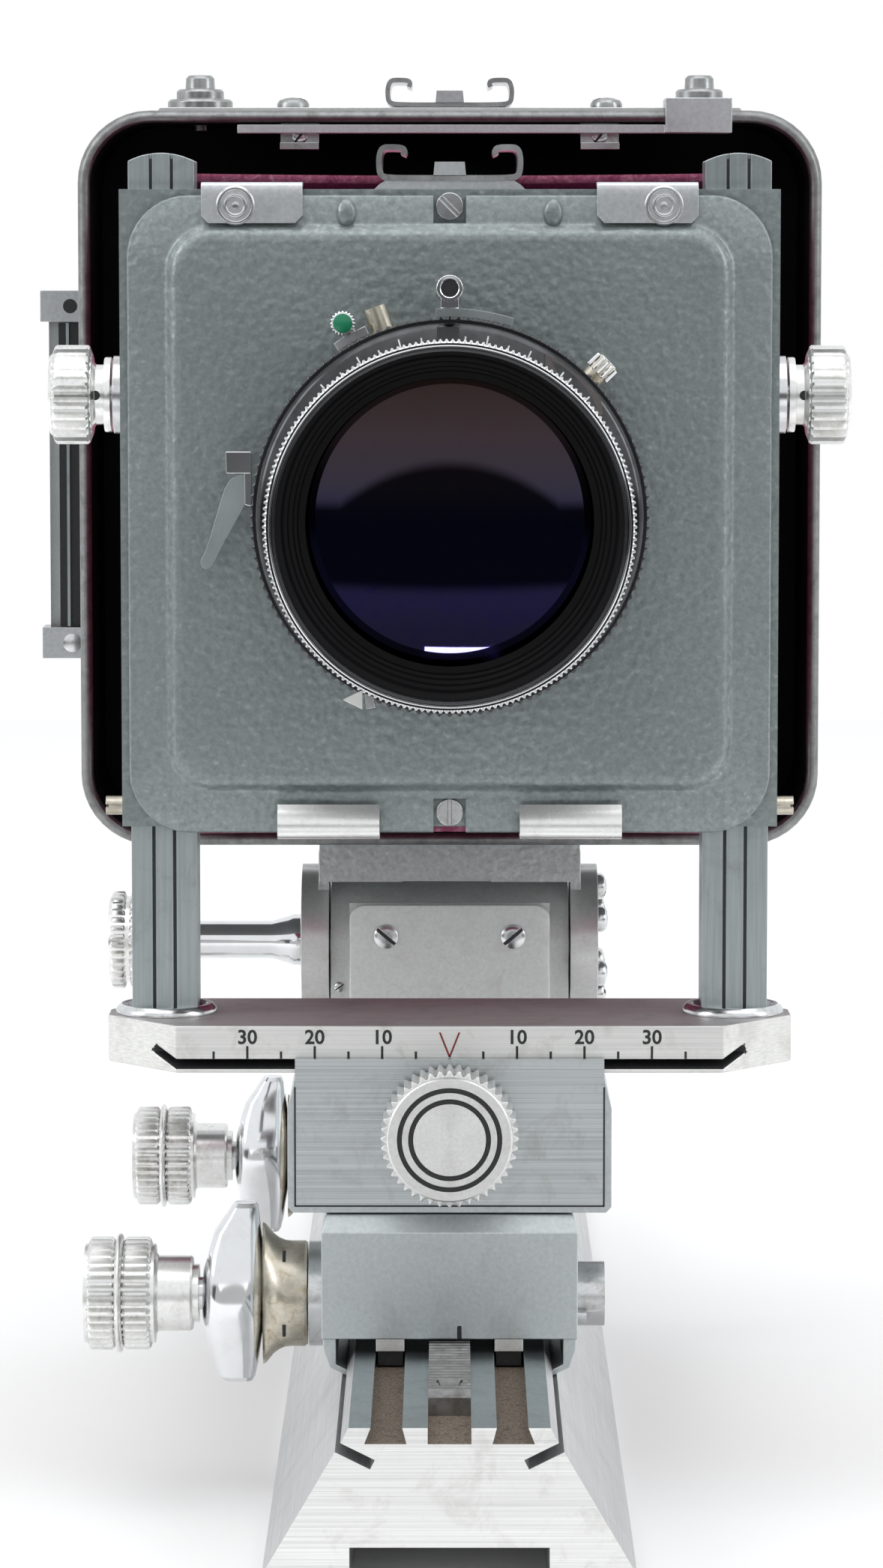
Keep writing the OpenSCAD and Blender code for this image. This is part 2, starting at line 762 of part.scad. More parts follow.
module rear_lens_glass() {
    dome = 42;
    color(glass) on_lens(plateau_y - 2.5) intersection() {
        translate([0, 0, -20]) cylinder(r = 14, h = 15);
        translate([0, 0, dome - 15.6]) sphere(r = dome, $fn = 128);
    }
}

module iris_blades() {
    color(dark) for (i = [0 : 7]) on_lens(housing_y + 9.6 + 0.16 * i) rotate([0, 0, 45 * i])
        linear_extrude(0.12) difference() {
            circle(cell_r - 0.1);
            translate([5.2, 0]) circle(14);
            translate([-30, -16]) square([22, 32]);
        }
}

module speed_ring() {
    color(dark) on_lens(housing_y - gap) difference() {
        ring(neck_r + gap, 27.4, 2.6);
        for (a = [40 : 12 : 136]) rotate([0, 0, a]) translate([24.8, -0.15, 2.3]) cube([2, 0.3, 1]);
    }
}

module aperture_lever() {
    color(dark) on_lens(housing_y + 5) {
        ring_part(lever_r0, lever_r1, 2.4, -124, -98);
        rotate([0, 0, -103]) translate([lever_r0, -1.6, 0]) cube([2.2, 3.2, 2.4]);
    }
}

module cocking_lever() {
    color(steel) on_lens(housing_y + 4.2) {
        ring_part(lever_r0, lever_r1, 2.2, 72, 94);
        rotate([0, 0, 90]) translate([lever_r0, -1.3, 0]) cube([3, 2.6, 1.4]);
        difference() {
            translate([0, 33, 0]) cylinder(r = 1.9, h = 9);
            translate([0, 33, 3]) cylinder(r = 1.25, h = 9);
        }
    }
}

module release_lever() {
    color(steel) on_lens(housing_y + 10.6) {
        ring_part(lever_r0, lever_r1, 2.2, 158, 180);
        rotate([0, 0, 166]) translate([lever_r0, -1.7, 0]) cube([4.6, 3.4, 1.2]);
        rotate([0, 0, 172]) translate([lever_r0 + 1.5, 0, 0]) rotate([0, 0, 66]) {
            translate([0, -1, 0]) cube([15, 2.6, 0.8]);
            translate([15, 0.3, 0]) cylinder(r = 1.3, h = 0.8);
        }
    }
}

module sync_lever() {
    color([0.05, 0.5, 0.3]) on_lens(housing_y + 7.6) {
        ring_part(lever_r0, lever_r1, 2.2, 114, 124);
        rotate([0, 0, 119]) {
            translate([lever_r0, -1, 0]) cube([3, 2, 1.4]);
            translate([31.9, 0, 0]) cylinder(r = 1.55, h = 4.4);
        }
    }
}

// ---------------------------------------------------------------- bellows

bellows_y0 = frame_y1 + gap;
bellows_y1 = shell_back - 2 - gap;
bellows_skin = 0.6;

// one square ring of points at y, its half width and half height short of the outer fold by d
function bellows_ring(y, d) = [for (s = [[-1, -1], [1, -1], [1, 1], [-1, 1]])
    [s[0] * (47.5 - d), y, lens_z + s[1] * (50 - d)]];

function fold(i) = i % 2 == 0 ? pleat_d : 0;

module bellows() {
    n = 2 * pleats;
    points = concat(
        [for (i = [0 : n]) each bellows_ring(bellows_y0 + i * (bellows_y1 - bellows_y0) / n, fold(i))],
        [for (i = [0 : n]) each bellows_ring(bellows_y0 + i * (bellows_y1 - bellows_y0) / n,
            fold(i) + 2 * bellows_skin)]);
    inner = 4 * (n + 1);
    faces = concat(
        [for (i = [0 : n - 1], k = [0 : 3]) let (a = 4 * i + k, b = 4 * i + (k + 1) % 4)
            each [[a, a + 4, b], [b, a + 4, b + 4]]],
        [for (i = [0 : n - 1], k = [0 : 3]) let (a = inner + 4 * i + k, b = inner + 4 * i + (k + 1) % 4)
            each [[a, b, a + 4], [b, b + 4, a + 4]]],
        [for (k = [0 : 3]) let (a = k, b = (k + 1) % 4) each [[a, b, inner + a], [b, inner + b, inner + a]]],
        [for (k = [0 : 3]) let (a = 4 * n + k, b = 4 * n + (k + 1) % 4)
            each [[a, inner + a, b], [b, inner + a, inner + b]]]);
    color(red) polyhedron(points, faces);
}

// ---------------------------------------------------------------- rear standard

module tilt_box() {
    color(satin) translate([0, rear_y, 0]) difference() {
        union() {
            box(-box_half, box_half, -11.3, 11.3, 50, tilt_z);
            pin_x(11.3, -box_half, box_half, 0, tilt_z);
            pin_z(16, cradle_z, 50, 0, 0);
            pin_z(stud_r, stud_z + 0.3, cradle_z, 0, 0);
            box(-17.2, 17.2, -12.8, -11.2, 51, 78);
            for (s = [-1, 1]) pin_y(2.1, -13.6, -12.8, s * 10.9, 72.5);
        }
        pin_x(tilt_shaft_r + fit, -box_half - 1, box_half + 1, 0, tilt_z);
        for (s = [-1, 1]) translate([s * 10.9, -13.6, 72.5]) rotate([0, s * 40, 0])
            box(-2.5, 2.5, -1, 0.5, -0.3, 0.3);
    }
}

module tilt_lock_knob() {
    color(steel) translate([0, rear_y, tilt_z]) {
        pin_x(tilt_shaft_r, -53, ear_x1 - 0.6, 0, 0);
        along_x(-58.8, -52.6) polygon(flute_points(32, 7.9, 8.5));
        pin_x(7.8, -59.2, -52, 0, 0);
        pin_x(4.4, -28.4, -ear_x1 - gap, 0, 0);
    }
}

module tilt_yoke() {
    color(satin) difference() {
        union() {
            box(-22, 22, 12, 56, yoke_z, shell_z);
            both_sides() {
                pin_x(ear_r, ear_x0, ear_x1, rear_y, tilt_z);
                box(ear_x0, 22.6, rear_y - 9, rear_y + 9, tilt_z, yoke_z + 3);
            }
        }
        pin_x(tilt_shaft_r + fit, -30, 30, rear_y, tilt_z);
        box(-8, 7, 11, 13, yoke_z - 1, yoke_z + 0.4);
    }
}

module rear_shell() {
    color(dark) difference() {
        union() {
            translate([0, 0, shell_mid_z]) along_y(shell_y, shell_back)
                round_rect(shell_w, shell_h, 12);
            box(-49, 49, 19, 38, shell_top - 0.5, shell_top + strip_t);
        }
        translate([0, 0, shell_mid_z]) along_y(shell_y - 1, shell_back - 2)
            round_rect(shell_w - 2 * shell_t, shell_h - 2 * shell_t, 10.1);
        box(-46, 46, shell_back - 3, shell_back + 1, lens_z - 46, lens_z + 46);
        both_sides() pin_z(1.5 + fit, shell_top - 3, shell_top + 3, back_lock_x, back_lock_y);
    }
}

// dome screws on top, brackets inside the top rim, dome nuts on the right ear
module rear_screws() {
    color(steel) {
        both_sides() {
            pin_z(2.6, shell_top + strip_t, shell_top + strip_t + 1, 26.5, 26);
            pin_z(1.6, shell_top + strip_t + 1, shell_top + strip_t + 1.8, 26.5, 26);
            box(21.8, 28.2, 12.3, 13.5, 206.4, shell_top - shell_t);
            box(21.8, 28.2, 9, 13.5, 206.4, 207.6);
        }
        for (a = [30, 90, 150, 210, 270, 330]) {
            pin_x(2.3, ear_x1, ear_x1 + 1.1, rear_y + 9.4 * cos(a), tilt_z + 9.4 * sin(a));
            pin_x(1.5, ear_x1 + 1.1, ear_x1 + 1.8, rear_y + 9.4 * cos(a), tilt_z + 9.4 * sin(a));
        }
    }
}

module back_frame() {
    y0 = shell_back;
    color(dark) difference() {
        union() {
            translate([0, 0, shell_mid_z]) along_y(y0, y0 + 2.2) round_rect(119, 118, 10);
            translate([0, 0, lens_z - 0.2]) along_y(y0 + 2, y0 + 13.8) round_rect(118, 86, 4);
        }
        box(-60, holder_x1 + gap, holder_y0 - gap, holder_y0 + holder_t + gap,
            holder_z0 - gap, holder_z1 + gap);
        box(-45, 45, y0 - 1, y0 + 6, 122, 180);
        box(-47, 47, y0 + 8, y0 + 20, 121, 181);
    }
}

module back_lock(x) {
    z = shell_top + strip_t + 0.1;
    color(steel) translate([x, back_lock_y, 0]) {
        pin_z(1.5, shell_top - shell_t - 1, z + 1, 0, 0);
        pin_z(5.5, z, z + 1.5, 0, 0);
        pin_z(4, z, z + 3.2, 0, 0);
        pin_z(2.4, z, z + 5.6, 0, 0);
    }
}

module rim_slide() {
    z = shell_top - shell_t - gap;
    color(satin) {
        box(-35.3, 46.7, shell_y + 0.6, shell_y + 4, z - 1.6, z - 0.1);
        box(35.7, 46.7, shell_y - 3, shell_y - gap, z - 1.6, shell_top + 2);
        box(35.7, 46.7, shell_y - 0.4, shell_y + 1, z - 1.6, z - 0.1);
        box(35.7, 46.7, shell_y - 0.4, shell_y + 8, shell_top + gap, shell_top + 2);
    }
}

module glass_holder() {
    y1 = holder_y0 + holder_t;
    color(satin) difference() {
        union() {
            box(holder_x0 + 3, holder_x1, holder_y0, y1, holder_z0, holder_z1);
            for (z = [holder_z0, holder_z1 - 5.4])
                box(holder_x0, -60.5, holder_y0 - 1, y1 + 1, z, z + 5.4);
            box(holder_x0 + 1.4, holder_x0 + 3, holder_y0, y1, holder_z0, holder_z1);
        }
        box(-44, 44, holder_y0 - 1, y1 + 1, 124, 178);
        box(-46, 46, holder_y0 + 2.4, y1 + 1, 122, 180);
    }
    color(glass) box(-45.9, 45.9, holder_y0 + 2.4, holder_y0 + 4.2, 122.1, 179.9);
}

// ---------------------------------------------------------------- nodes

module front_carriage() { color(satin) carriage(front_y); }
module rear_carriage() { color(satin) carriage(rear_y); }

rail();
rail_rack();
rail_screws();
tripod_block();
tripod_bush();
front_carriage();
guide_shoes(front_y);  // front_guide_shoes
shaft_bearings(front_y);  // front_shaft_bearings
lock_lever(front_y);  // front_lock_lever
lock_collar(front_y);  // front_lock_collar
pinion_shaft(front_y);  // front_pinion_shaft
focus_knob(front_y);  // front_focus_knob
front_cradle();
front_shift_block();
shift_lock_knob();
base_bar();
post(-post_x);  // post_left
post(post_x);  // post_right
post_rings();
lens_frame();
lensboard();
board_hooks();
frame_fittings();
shoe(front_y, frame_z1, 1.2, 5.4);  // front_shoe
shutter_housing();
retaining_ring();
front_lens_cell();
front_lens_glass();
filter_ring();
rear_lens_cell();
rear_lens_glass();
iris_blades();
latch(-latch_x);  // latch_left
latch(latch_x);  // latch_right
mirror([1, 0, 0]) rise_knob();  // rise_knob_left
rise_knob();  // rise_knob_right
speed_ring();
aperture_lever();
cocking_lever();
release_lever();
sync_lever();
bellows();
rear_carriage();
guide_shoes(rear_y);  // rear_guide_shoes
shaft_bearings(rear_y);  // rear_shaft_bearings
lock_lever(rear_y);  // rear_lock_lever
lock_collar(rear_y);  // rear_lock_collar
pinion_shaft(rear_y);  // rear_pinion_shaft
focus_knob(rear_y);  // rear_focus_knob
tilt_box();
tilt_lock_knob();
tilt_yoke();
rear_shell();
rear_screws();
shoe(28, shell_top + strip_t, 0, 5);  // rear_shoe
back_frame();
back_lock(-back_lock_x);  // back_lock_left
back_lock(back_lock_x);  // back_lock_right
rim_slide();
glass_holder();
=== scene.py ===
"""Small-format monorail view camera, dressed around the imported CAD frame."""
import json
from math import atan2, copysign, cos, hypot, pi, radians, sin, sqrt

import bmesh
import bpy
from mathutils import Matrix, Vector


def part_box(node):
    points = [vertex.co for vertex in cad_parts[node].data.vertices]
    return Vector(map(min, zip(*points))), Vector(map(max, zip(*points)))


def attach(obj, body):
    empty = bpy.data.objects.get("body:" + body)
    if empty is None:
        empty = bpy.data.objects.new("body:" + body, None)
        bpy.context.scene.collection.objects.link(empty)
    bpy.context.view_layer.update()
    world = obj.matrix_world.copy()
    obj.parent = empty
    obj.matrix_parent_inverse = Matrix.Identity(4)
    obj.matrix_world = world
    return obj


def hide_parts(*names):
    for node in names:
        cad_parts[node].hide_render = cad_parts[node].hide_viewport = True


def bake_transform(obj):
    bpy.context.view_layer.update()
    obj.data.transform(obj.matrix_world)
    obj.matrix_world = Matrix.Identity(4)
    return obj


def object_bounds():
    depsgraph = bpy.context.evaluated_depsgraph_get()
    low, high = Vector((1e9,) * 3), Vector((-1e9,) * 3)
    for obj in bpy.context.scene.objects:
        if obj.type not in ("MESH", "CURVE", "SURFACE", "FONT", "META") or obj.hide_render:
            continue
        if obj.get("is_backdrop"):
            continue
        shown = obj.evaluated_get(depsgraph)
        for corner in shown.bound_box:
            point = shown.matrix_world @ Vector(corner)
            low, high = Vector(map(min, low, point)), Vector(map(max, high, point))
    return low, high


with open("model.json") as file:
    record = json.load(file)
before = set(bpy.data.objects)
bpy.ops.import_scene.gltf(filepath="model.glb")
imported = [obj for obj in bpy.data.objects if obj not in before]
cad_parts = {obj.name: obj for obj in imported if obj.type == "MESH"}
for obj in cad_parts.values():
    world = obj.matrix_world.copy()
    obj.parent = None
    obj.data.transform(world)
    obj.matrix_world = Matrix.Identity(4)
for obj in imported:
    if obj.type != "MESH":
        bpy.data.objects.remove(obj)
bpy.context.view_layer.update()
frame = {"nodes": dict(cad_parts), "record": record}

MM = 0.001
TAU = 2 * pi


# ------------------------------------------------------------ materials

class Nodes:
    """Node building shared by the materials and the world."""

    def __init__(self, tree):
        self.tree = tree

    def node(self, kind, **inputs):
        made = self.tree.nodes.new(kind)
        for key, value in inputs.items():
            self.put(made.inputs[key.replace("_", " ")], value)
        return made

    def put(self, socket, value):
        if isinstance(value, bpy.types.NodeSocket):
            self.tree.links.new(value, socket)
        else:
            socket.default_value = value

    def span(self, factor, low, high, a=0.3, b=0.7):
        """The factor's stretch from a to b mapped onto low to high."""
        made = self.node("ShaderNodeMapRange", Value=factor)
        for key, value in zip(("From Min", "From Max", "To Min", "To Max"), (a, b, low, high)):
            made.inputs[key].default_value = value
        return made.outputs["Result"]


class Shader(Nodes):
    """A material built round one Principled shader, with patterns in object space."""

    def __init__(self, name, **sockets):
        self.mat = bpy.data.materials.new(name)
        self.mat.use_nodes = True
        super().__init__(self.mat.node_tree)
        self.out = self.tree.nodes["Principled BSDF"]
        self.coords = self.node("ShaderNodeTexCoord").outputs["Object"]
        for key, value in sockets.items():
            self.out.inputs[key.replace("_", " ")].default_value = value

    def stretched(self, scale):
        made = self.node("ShaderNodeMapping", Vector=self.coords)
        made.inputs["Scale"].default_value = scale
        return made.outputs["Vector"]

    def noise(self, scale, detail=3.0, rough=0.55, warp=0.0):
        """Noise with that many features per metre along x, y and z."""
        size = scale if isinstance(scale, tuple) else (scale,) * 3
        made = self.node("ShaderNodeTexNoise", Vector=self.stretched(size), Scale=1.0, Detail=detail,
            Roughness=rough, Distortion=warp)
        return made.outputs["Fac"]

    def cells(self, scale, smooth=0.6):
        made = self.node("ShaderNodeTexVoronoi")
        made.feature = "SMOOTH_F1"
        self.put(made.inputs["Vector"], self.stretched((scale,) * 3))
        made.inputs["Scale"].default_value = 1.0
        made.inputs["Smoothness"].default_value = smooth
        return made.outputs["Distance"]

    def ramp(self, factor, *stops):
        made = self.node("ShaderNodeValToRGB", Fac=factor)
        points = made.color_ramp.elements
        while len(points) < len(stops):
            points.new(0.5)
        for point, (place, colour) in zip(points, stops):
            point.position = place
            point.color = (*colour, 1) if len(colour) == 3 else colour
        return made.outputs["Color"]

    def blend(self, factor, a, b):
        made = self.node("ShaderNodeMix")
        made.data_type = "RGBA"
        colour = [s for s in made.inputs if s.type == "RGBA"]
        self.put(made.inputs["Factor"], factor)
        for socket, value in zip(colour, (a, b)):
            self.put(socket, (*value, 1) if isinstance(value, tuple) and len(value) == 3 else value)
        return [s for s in made.outputs if s.type == "RGBA"][0]

    def axis(self, index):
        return self.node("ShaderNodeSeparateXYZ", Vector=self.coords).outputs[index]

    def bump(self, height, strength, depth, below=None):
        made = self.node("ShaderNodeBump", Height=height, Strength=strength, Distance=depth * MM)
        if below:
            self.put(made.inputs["Normal"], below)
        return made.outputs["Normal"]

    def done(self, **links):
        for key, value in links.items():
            self.put(self.out.inputs[key.replace("_", " ")], value)
        return self.mat


def metal(name, dark, light, rough, grain, depth=0.004, clouds=55, patina=None, amount=0.35, metallic=1.0):
    """Machined metal: fine grain along one direction, cloudy handling marks, a little grime."""
    s = Shader(name, Metallic=metallic)
    fine = s.noise(grain, 2.0, 0.7)
    cloud = s.noise(clouds, 4.0, 0.6)
    colour = s.ramp(fine, (0.28, dark), (0.72, light))
    colour = s.blend(s.span(cloud, 0.0, 0.5), colour, tuple(0.82 * c for c in light))
    if patina:
        spots = s.noise(clouds * 4, 5.0, 0.7, 0.6)
        colour = s.blend(s.span(spots, 0.0, amount, 0.52, 0.68), colour, patina)
    low, high = rough
    return s.done(Base_Color=colour, Roughness=s.span(cloud, low, high), Normal=s.bump(fine, 0.35, depth))


def hammered(name, dark, light, fleck):
    """Sprayed hammer finish: shallow dimples, mottled grey, small bright flecks."""
    s = Shader(name, Metallic=0.55, Coat_Weight=0.5, Coat_Roughness=0.16)
    dimples = s.cells(720, 0.8)
    mottle = s.noise(1100, 4.0, 0.65, 0.4)
    swell = s.noise(800, 1.0, 0.5)
    broad = s.noise(38, 3.0)
    colour = s.ramp(mottle, (0.3, dark), (0.62, light), (0.8, fleck))
    colour = s.blend(s.span(broad, 0.0, 0.22), colour, tuple(0.75 * c for c in dark))
    stain = s.noise(120, 6.0, 0.75, 1.2)
    colour = s.blend(s.span(stain, 0.0, 0.55, 0.71, 0.76), colour, (0.05, 0.045, 0.04))
    rough = s.span(mottle, 0.46, 0.32)
    relief = s.bump(dimples, 0.6, 0.2, s.bump(swell, 0.55, 0.22))
    return s.done(Base_Color=colour, Roughness=rough, Normal=s.bump(mottle, 0.3, 0.05, relief))


def enamel(name, colour, rough=(0.25, 0.4), coat=0.4, dust=(0.3, 0.3, 0.3), dusty=0.08, grain=900):
    """Paint or moulded plastic with a light orange peel and some dust."""
    s = Shader(name, Coat_Weight=coat, Coat_Roughness=0.12)
    peel = s.noise(grain, 2.0)
    cloud = s.noise(70, 5.0, 0.7)
    shade = s.ramp(cloud, (0.35, tuple(0.8 * c for c in colour)), (0.7, colour))
    speck = s.noise(1500, 4.0, 0.8)
    shade = s.blend(s.span(speck, 0.0, dusty, 0.55, 0.7), shade, dust)
    return s.done(Base_Color=shade, Roughness=s.span(cloud, *rough), Normal=s.bump(peel, 0.25, 0.02))


HAMMER = hammered("Hammertone", (0.175, 0.205, 0.205), (0.265, 0.3, 0.3), (0.44, 0.48, 0.475))
YOKE = hammered("LightHammertone", (0.36, 0.38, 0.385), (0.52, 0.54, 0.545), (0.68, 0.7, 0.7))
BLOCK = metal("BrushedBlock", (0.42, 0.455, 0.465), (0.72, 0.755, 0.765), (0.26, 0.38), (16, 900, 4600), 0.012, 45,
    (0.25, 0.24, 0.22), 0.25)
SATIN = metal("SatinAluminium", (0.56, 0.58, 0.6), (0.72, 0.74, 0.76), (0.3, 0.42), 1500, 0.004, 50,
    (0.35, 0.33, 0.3), 0.22)
PALE = metal("PaleSatin", (0.7, 0.7, 0.69), (0.84, 0.84, 0.83), (0.28, 0.4), 1800, 0.004, 60, (0.45, 0.42, 0.36),
    0.25, 0.8)
CAST = metal("BlastedAluminium", (0.62, 0.635, 0.63), (0.76, 0.775, 0.765), (0.4, 0.52), 1600, 0.01, 60,
    (0.42, 0.4, 0.34), 0.25, 0.5)
BODY = metal("SatinBody", (0.5, 0.54, 0.55), (0.62, 0.66, 0.67), (0.34, 0.46), 1500, 0.004, 40, (0.3, 0.3, 0.28),
    0.2, 0.9)
BAR = metal("BrushedBar", (0.6, 0.6, 0.59), (0.86, 0.86, 0.84), (0.34, 0.5), (18, 900, 5000), 0.012, 45,
    (0.36, 0.33, 0.28), 0.3, 0.7)
POST = metal("AnodisedGrey", (0.37, 0.415, 0.43), (0.5, 0.55, 0.56), (0.3, 0.42), (1700, 1700, 50), 0.006, 40,
    (0.2, 0.2, 0.19), 0.3)
CHROME = metal("PolishedChrome", (0.82, 0.83, 0.85), (0.9, 0.91, 0.92), (0.05, 0.16), 90, 0.001, 80,
    (0.5, 0.5, 0.5), 0.12)
STEEL = metal("BrightSteel", (0.66, 0.67, 0.68), (0.8, 0.81, 0.82), (0.16, 0.3), 500, 0.003, 90, (0.36, 0.33, 0.28),
    0.45)
BRASS = metal("TarnishedNickel", (0.42, 0.39, 0.32), (0.66, 0.62, 0.53), (0.24, 0.42), 400, 0.006, 110,
    (0.3, 0.22, 0.1), 0.65)
RACK = metal("RackSteel", (0.15, 0.15, 0.15), (0.36, 0.36, 0.355), (0.25, 0.4), (300, 1500, 300), 0.006, 80,
    (0.12, 0.1, 0.08), 0.5)
SHELL = enamel("ShellGrey", (0.085, 0.09, 0.093), (0.32, 0.45), 0.25, (0.3, 0.3, 0.3), 0.16)
RIM = metal("WornShellRim", (0.2, 0.205, 0.205), (0.34, 0.345, 0.345), (0.38, 0.5), 500, 0.008, 60, (0.1, 0.1, 0.1),
    0.5)
BLACK = enamel("BlackLacquer", (0.010, 0.010, 0.012), (0.14, 0.26), 0.4, (0.16, 0.16, 0.17), 0.12)
MATT = enamel("MattBlack", (0.004, 0.004, 0.0045), (0.55, 0.7), 0.0, (0.012, 0.012, 0.012), 0.3)
MATT.node_tree.nodes["Principled BSDF"].inputs["Specular IOR Level"].default_value = 0.15
# Black for print, and also for painted shade in slots, gaps, grooves and holes.
INK_AND_SHADE = enamel("EngravedBlackAndPaintedShade", (0.014, 0.014, 0.016), (0.5, 0.6), 0.0)
WHITE = enamel("EngravedWhite", (0.75, 0.76, 0.74), (0.4, 0.5), 0.1, (0.4, 0.4, 0.4), 0.1)
RED = enamel("EngravedRed", (0.22, 0.02, 0.02), (0.45, 0.55), 0.1, (0.1, 0.05, 0.05), 0.1)
GREEN = enamel("GreenEnamel", (0.0, 0.22, 0.1), (0.3, 0.4), 0.3, (0.1, 0.3, 0.2), 0.2, 700)
# A darker steel for the back locks and top screws. The darkness is painted shade standing for the dark room they
# reflect; the spots are grime.
SHADED_STEEL = metal("WornSteelPaintedShade", (0.28, 0.29, 0.29), (0.44, 0.45, 0.45), (0.22, 0.38), 500, 0.004, 90, (0.16, 0.15, 0.13),
    0.4)
RAIL = metal("MilledRail", (0.6, 0.6, 0.59), (0.95, 0.95, 0.94), (0.36, 0.5), (18, 900, 5200), 0.014, 45,
    (0.36, 0.34, 0.3), 0.25, 0.55)
# Darker copy of the rail metal for the rail's sides: painted shade, with the grain turned to run along them.
SHADED_FLANK = metal("RailFlankPaintedShade", (0.4, 0.405, 0.41), (0.62, 0.625, 0.63), (0.34, 0.46), (900, 18, 5200), 0.01, 45,
    (0.3, 0.29, 0.26), 0.2, 0.8)
HOOK = metal("BrightHook", (0.88, 0.88, 0.87), (0.98, 0.98, 0.97), (0.2, 0.32), 1800, 0.004, 60, (0.5, 0.47, 0.4),
    0.2, 0.75)
KNOB = metal("TurnedKnob", (0.82, 0.82, 0.81), (0.96, 0.96, 0.95), (0.2, 0.32), 1800, 0.004, 60, (0.4, 0.37, 0.3),
    0.35)
NICKEL = metal("BlackNickel", (0.05, 0.052, 0.055), (0.09, 0.093, 0.096), (0.1, 0.2), 300, 0.002, 90,
    (0.03, 0.03, 0.03), 0.3)
PLATE = enamel("ScalePlate", (0.05, 0.038, 0.034), (0.25, 0.35), 0.5, (0.15, 0.14, 0.13), 0.3)


def groove_floor():
    """Unplated groove floor: tan, gritty, spotted dark and light."""
    s = Shader("GrooveFloor")
    grit, spots = s.noise(2400, 5.0, 0.75), s.noise(900, 6.0, 0.8)
    colour = s.ramp(grit, (0.36, (0.07, 0.052, 0.038)), (0.5, (0.17, 0.133, 0.1)), (0.62, (0.25, 0.205, 0.16)))
    colour = s.blend(s.span(spots, 0.0, 0.8, 0.54, 0.62), colour, (0.045, 0.035, 0.028))
    return s.done(Base_Color=colour, Roughness=s.span(grit, 0.85, 0.65), Normal=s.bump(grit, 0.5, 0.05))


def pale_plastic():
    s = Shader("PalePlastic", Coat_Weight=0.3, Coat_Roughness=0.1, Transmission_Weight=0.35, IOR=1.48)
    cloud = s.noise(160, 3.0)
    return s.done(Base_Color=s.ramp(cloud, (0.3, (0.3, 0.34, 0.34)), (0.7, (0.4, 0.44, 0.44))),
        Roughness=s.span(cloud, 0.2, 0.35), Normal=s.bump(s.noise(700), 0.2, 0.01))


def leather():
    """Dyed bellows leather: fine grain, darker where the wrinkle noise is low, lighter on the crests."""
    s = Shader("BellowsLeather", Sheen_Weight=0.15, Sheen_Roughness=0.5, Specular_IOR_Level=0.35)
    pores = s.cells(2300, 0.35)
    wrinkles = s.noise(900, 5.0, 0.7, 0.7)
    cloud = s.noise(60, 4.0)
    colour = s.ramp(wrinkles, (0.3, (0.1, 0.004, 0.028)), (0.6, (0.22, 0.012, 0.07)), (0.8, (0.36, 0.05, 0.14)))
    colour = s.blend(s.span(cloud, 0.0, 0.45), colour, (0.16, 0.008, 0.05))
    return s.done(Base_Color=colour, Roughness=s.span(wrinkles, 0.62, 0.42),
        Normal=s.bump(pores, 0.5, 0.05, s.bump(wrinkles, 0.5, 0.08)))


def crest_leather():
    s = Shader("BellowsCrest", Sheen_Weight=0.2, Sheen_Roughness=0.5)
    crest_noise = s.noise(700, 6.0, 0.75, 0.8)
    colour = s.ramp(crest_noise, (0.35, (0.2, 0.012, 0.06)), (0.55, (0.42, 0.1, 0.19)), (0.72, (0.6, 0.34, 0.38)))
    return s.done(Base_Color=colour, Roughness=s.span(crest_noise, 0.6, 0.4), Normal=s.bump(crest_noise, 0.5, 0.06))


def coated_glass():
    """Front element: a faint painted reflection of the room in its base colour, warm above and blue below, set by
    height.
    """
    s = Shader("CoatedGlassPaintedReflection", Metallic=1.0, Coat_Weight=0.12, Coat_Roughness=0.01)
    up = s.span(s.axis(2), 0.0, 1.0, 0.1306, 0.1714)
    # painted reflection by height: blue below, warm brown above
    painted_reflection = s.ramp(up, (0.0, (0.004, 0.003, 0.02)), (0.22, (0.007, 0.005, 0.055)), (0.5, (0.006, 0.006, 0.05)),
        (0.62, (0.03, 0.024, 0.048)), (0.8, (0.043, 0.026, 0.032)), (1.0, (0.03, 0.014, 0.01)))
    haze = s.noise(260, 4.0, 0.6)
    painted_reflection = s.blend(s.span(haze, 0.0, 0.1), painted_reflection, (0.03, 0.025, 0.04))
    rough = s.span(haze, 0.012, 0.03)
    return s.done(Base_Color=painted_reflection, Roughness=rough, Normal=s.bump(s.noise(30), 0.02, 0.01))


def ground():
    s = Shader("GroundGlass", Transmission_Weight=0.75, IOR=1.5)
    frost = s.noise(3000, 2.0)
    return s.done(Base_Color=s.ramp(frost, (0.3, (0.6, 0.63, 0.62)), (0.7, (0.78, 0.8, 0.79))),
        Roughness=s.span(frost, 0.35, 0.55), Normal=s.bump(frost, 0.5, 0.02))


def spun_face():
    """Turned face: rings about the knob's axis and a fan-shaped sheen."""
    s = Shader("SpunFace", Metallic=0.85, Roughness=0.34, Anisotropic=0.7)
    tangent = s.node("ShaderNodeTangent")
    tangent.direction_type, tangent.axis = "RADIAL", "Y"
    fine = s.noise(2200, 2.0)
    return s.done(Base_Color=s.ramp(fine, (0.3, (0.74, 0.74, 0.73)), (0.7, (0.84, 0.84, 0.83))),
        Tangent=tangent.outputs["Tangent"], Normal=s.bump(fine, 0.2, 0.003))


LEATHER, CREST = leather(), crest_leather()
GLASS, FROST, ARM, GRIME = coated_glass(), ground(), pale_plastic(), groove_floor()
SPUN = spun_face()


# ------------------------------------------------------------ shapes, all in millimetres

def span(node):
    low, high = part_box(node)
    return [v / MM for v in (low.x, high.x, low.y, high.y, low.z, high.z)]


def point(axis, a, b, t):
    """A point from its two cross coordinates and its place along the axis."""
    return {"x": (t, a, b), "y": (a, t, b), "z": (a, b, t)}[axis]


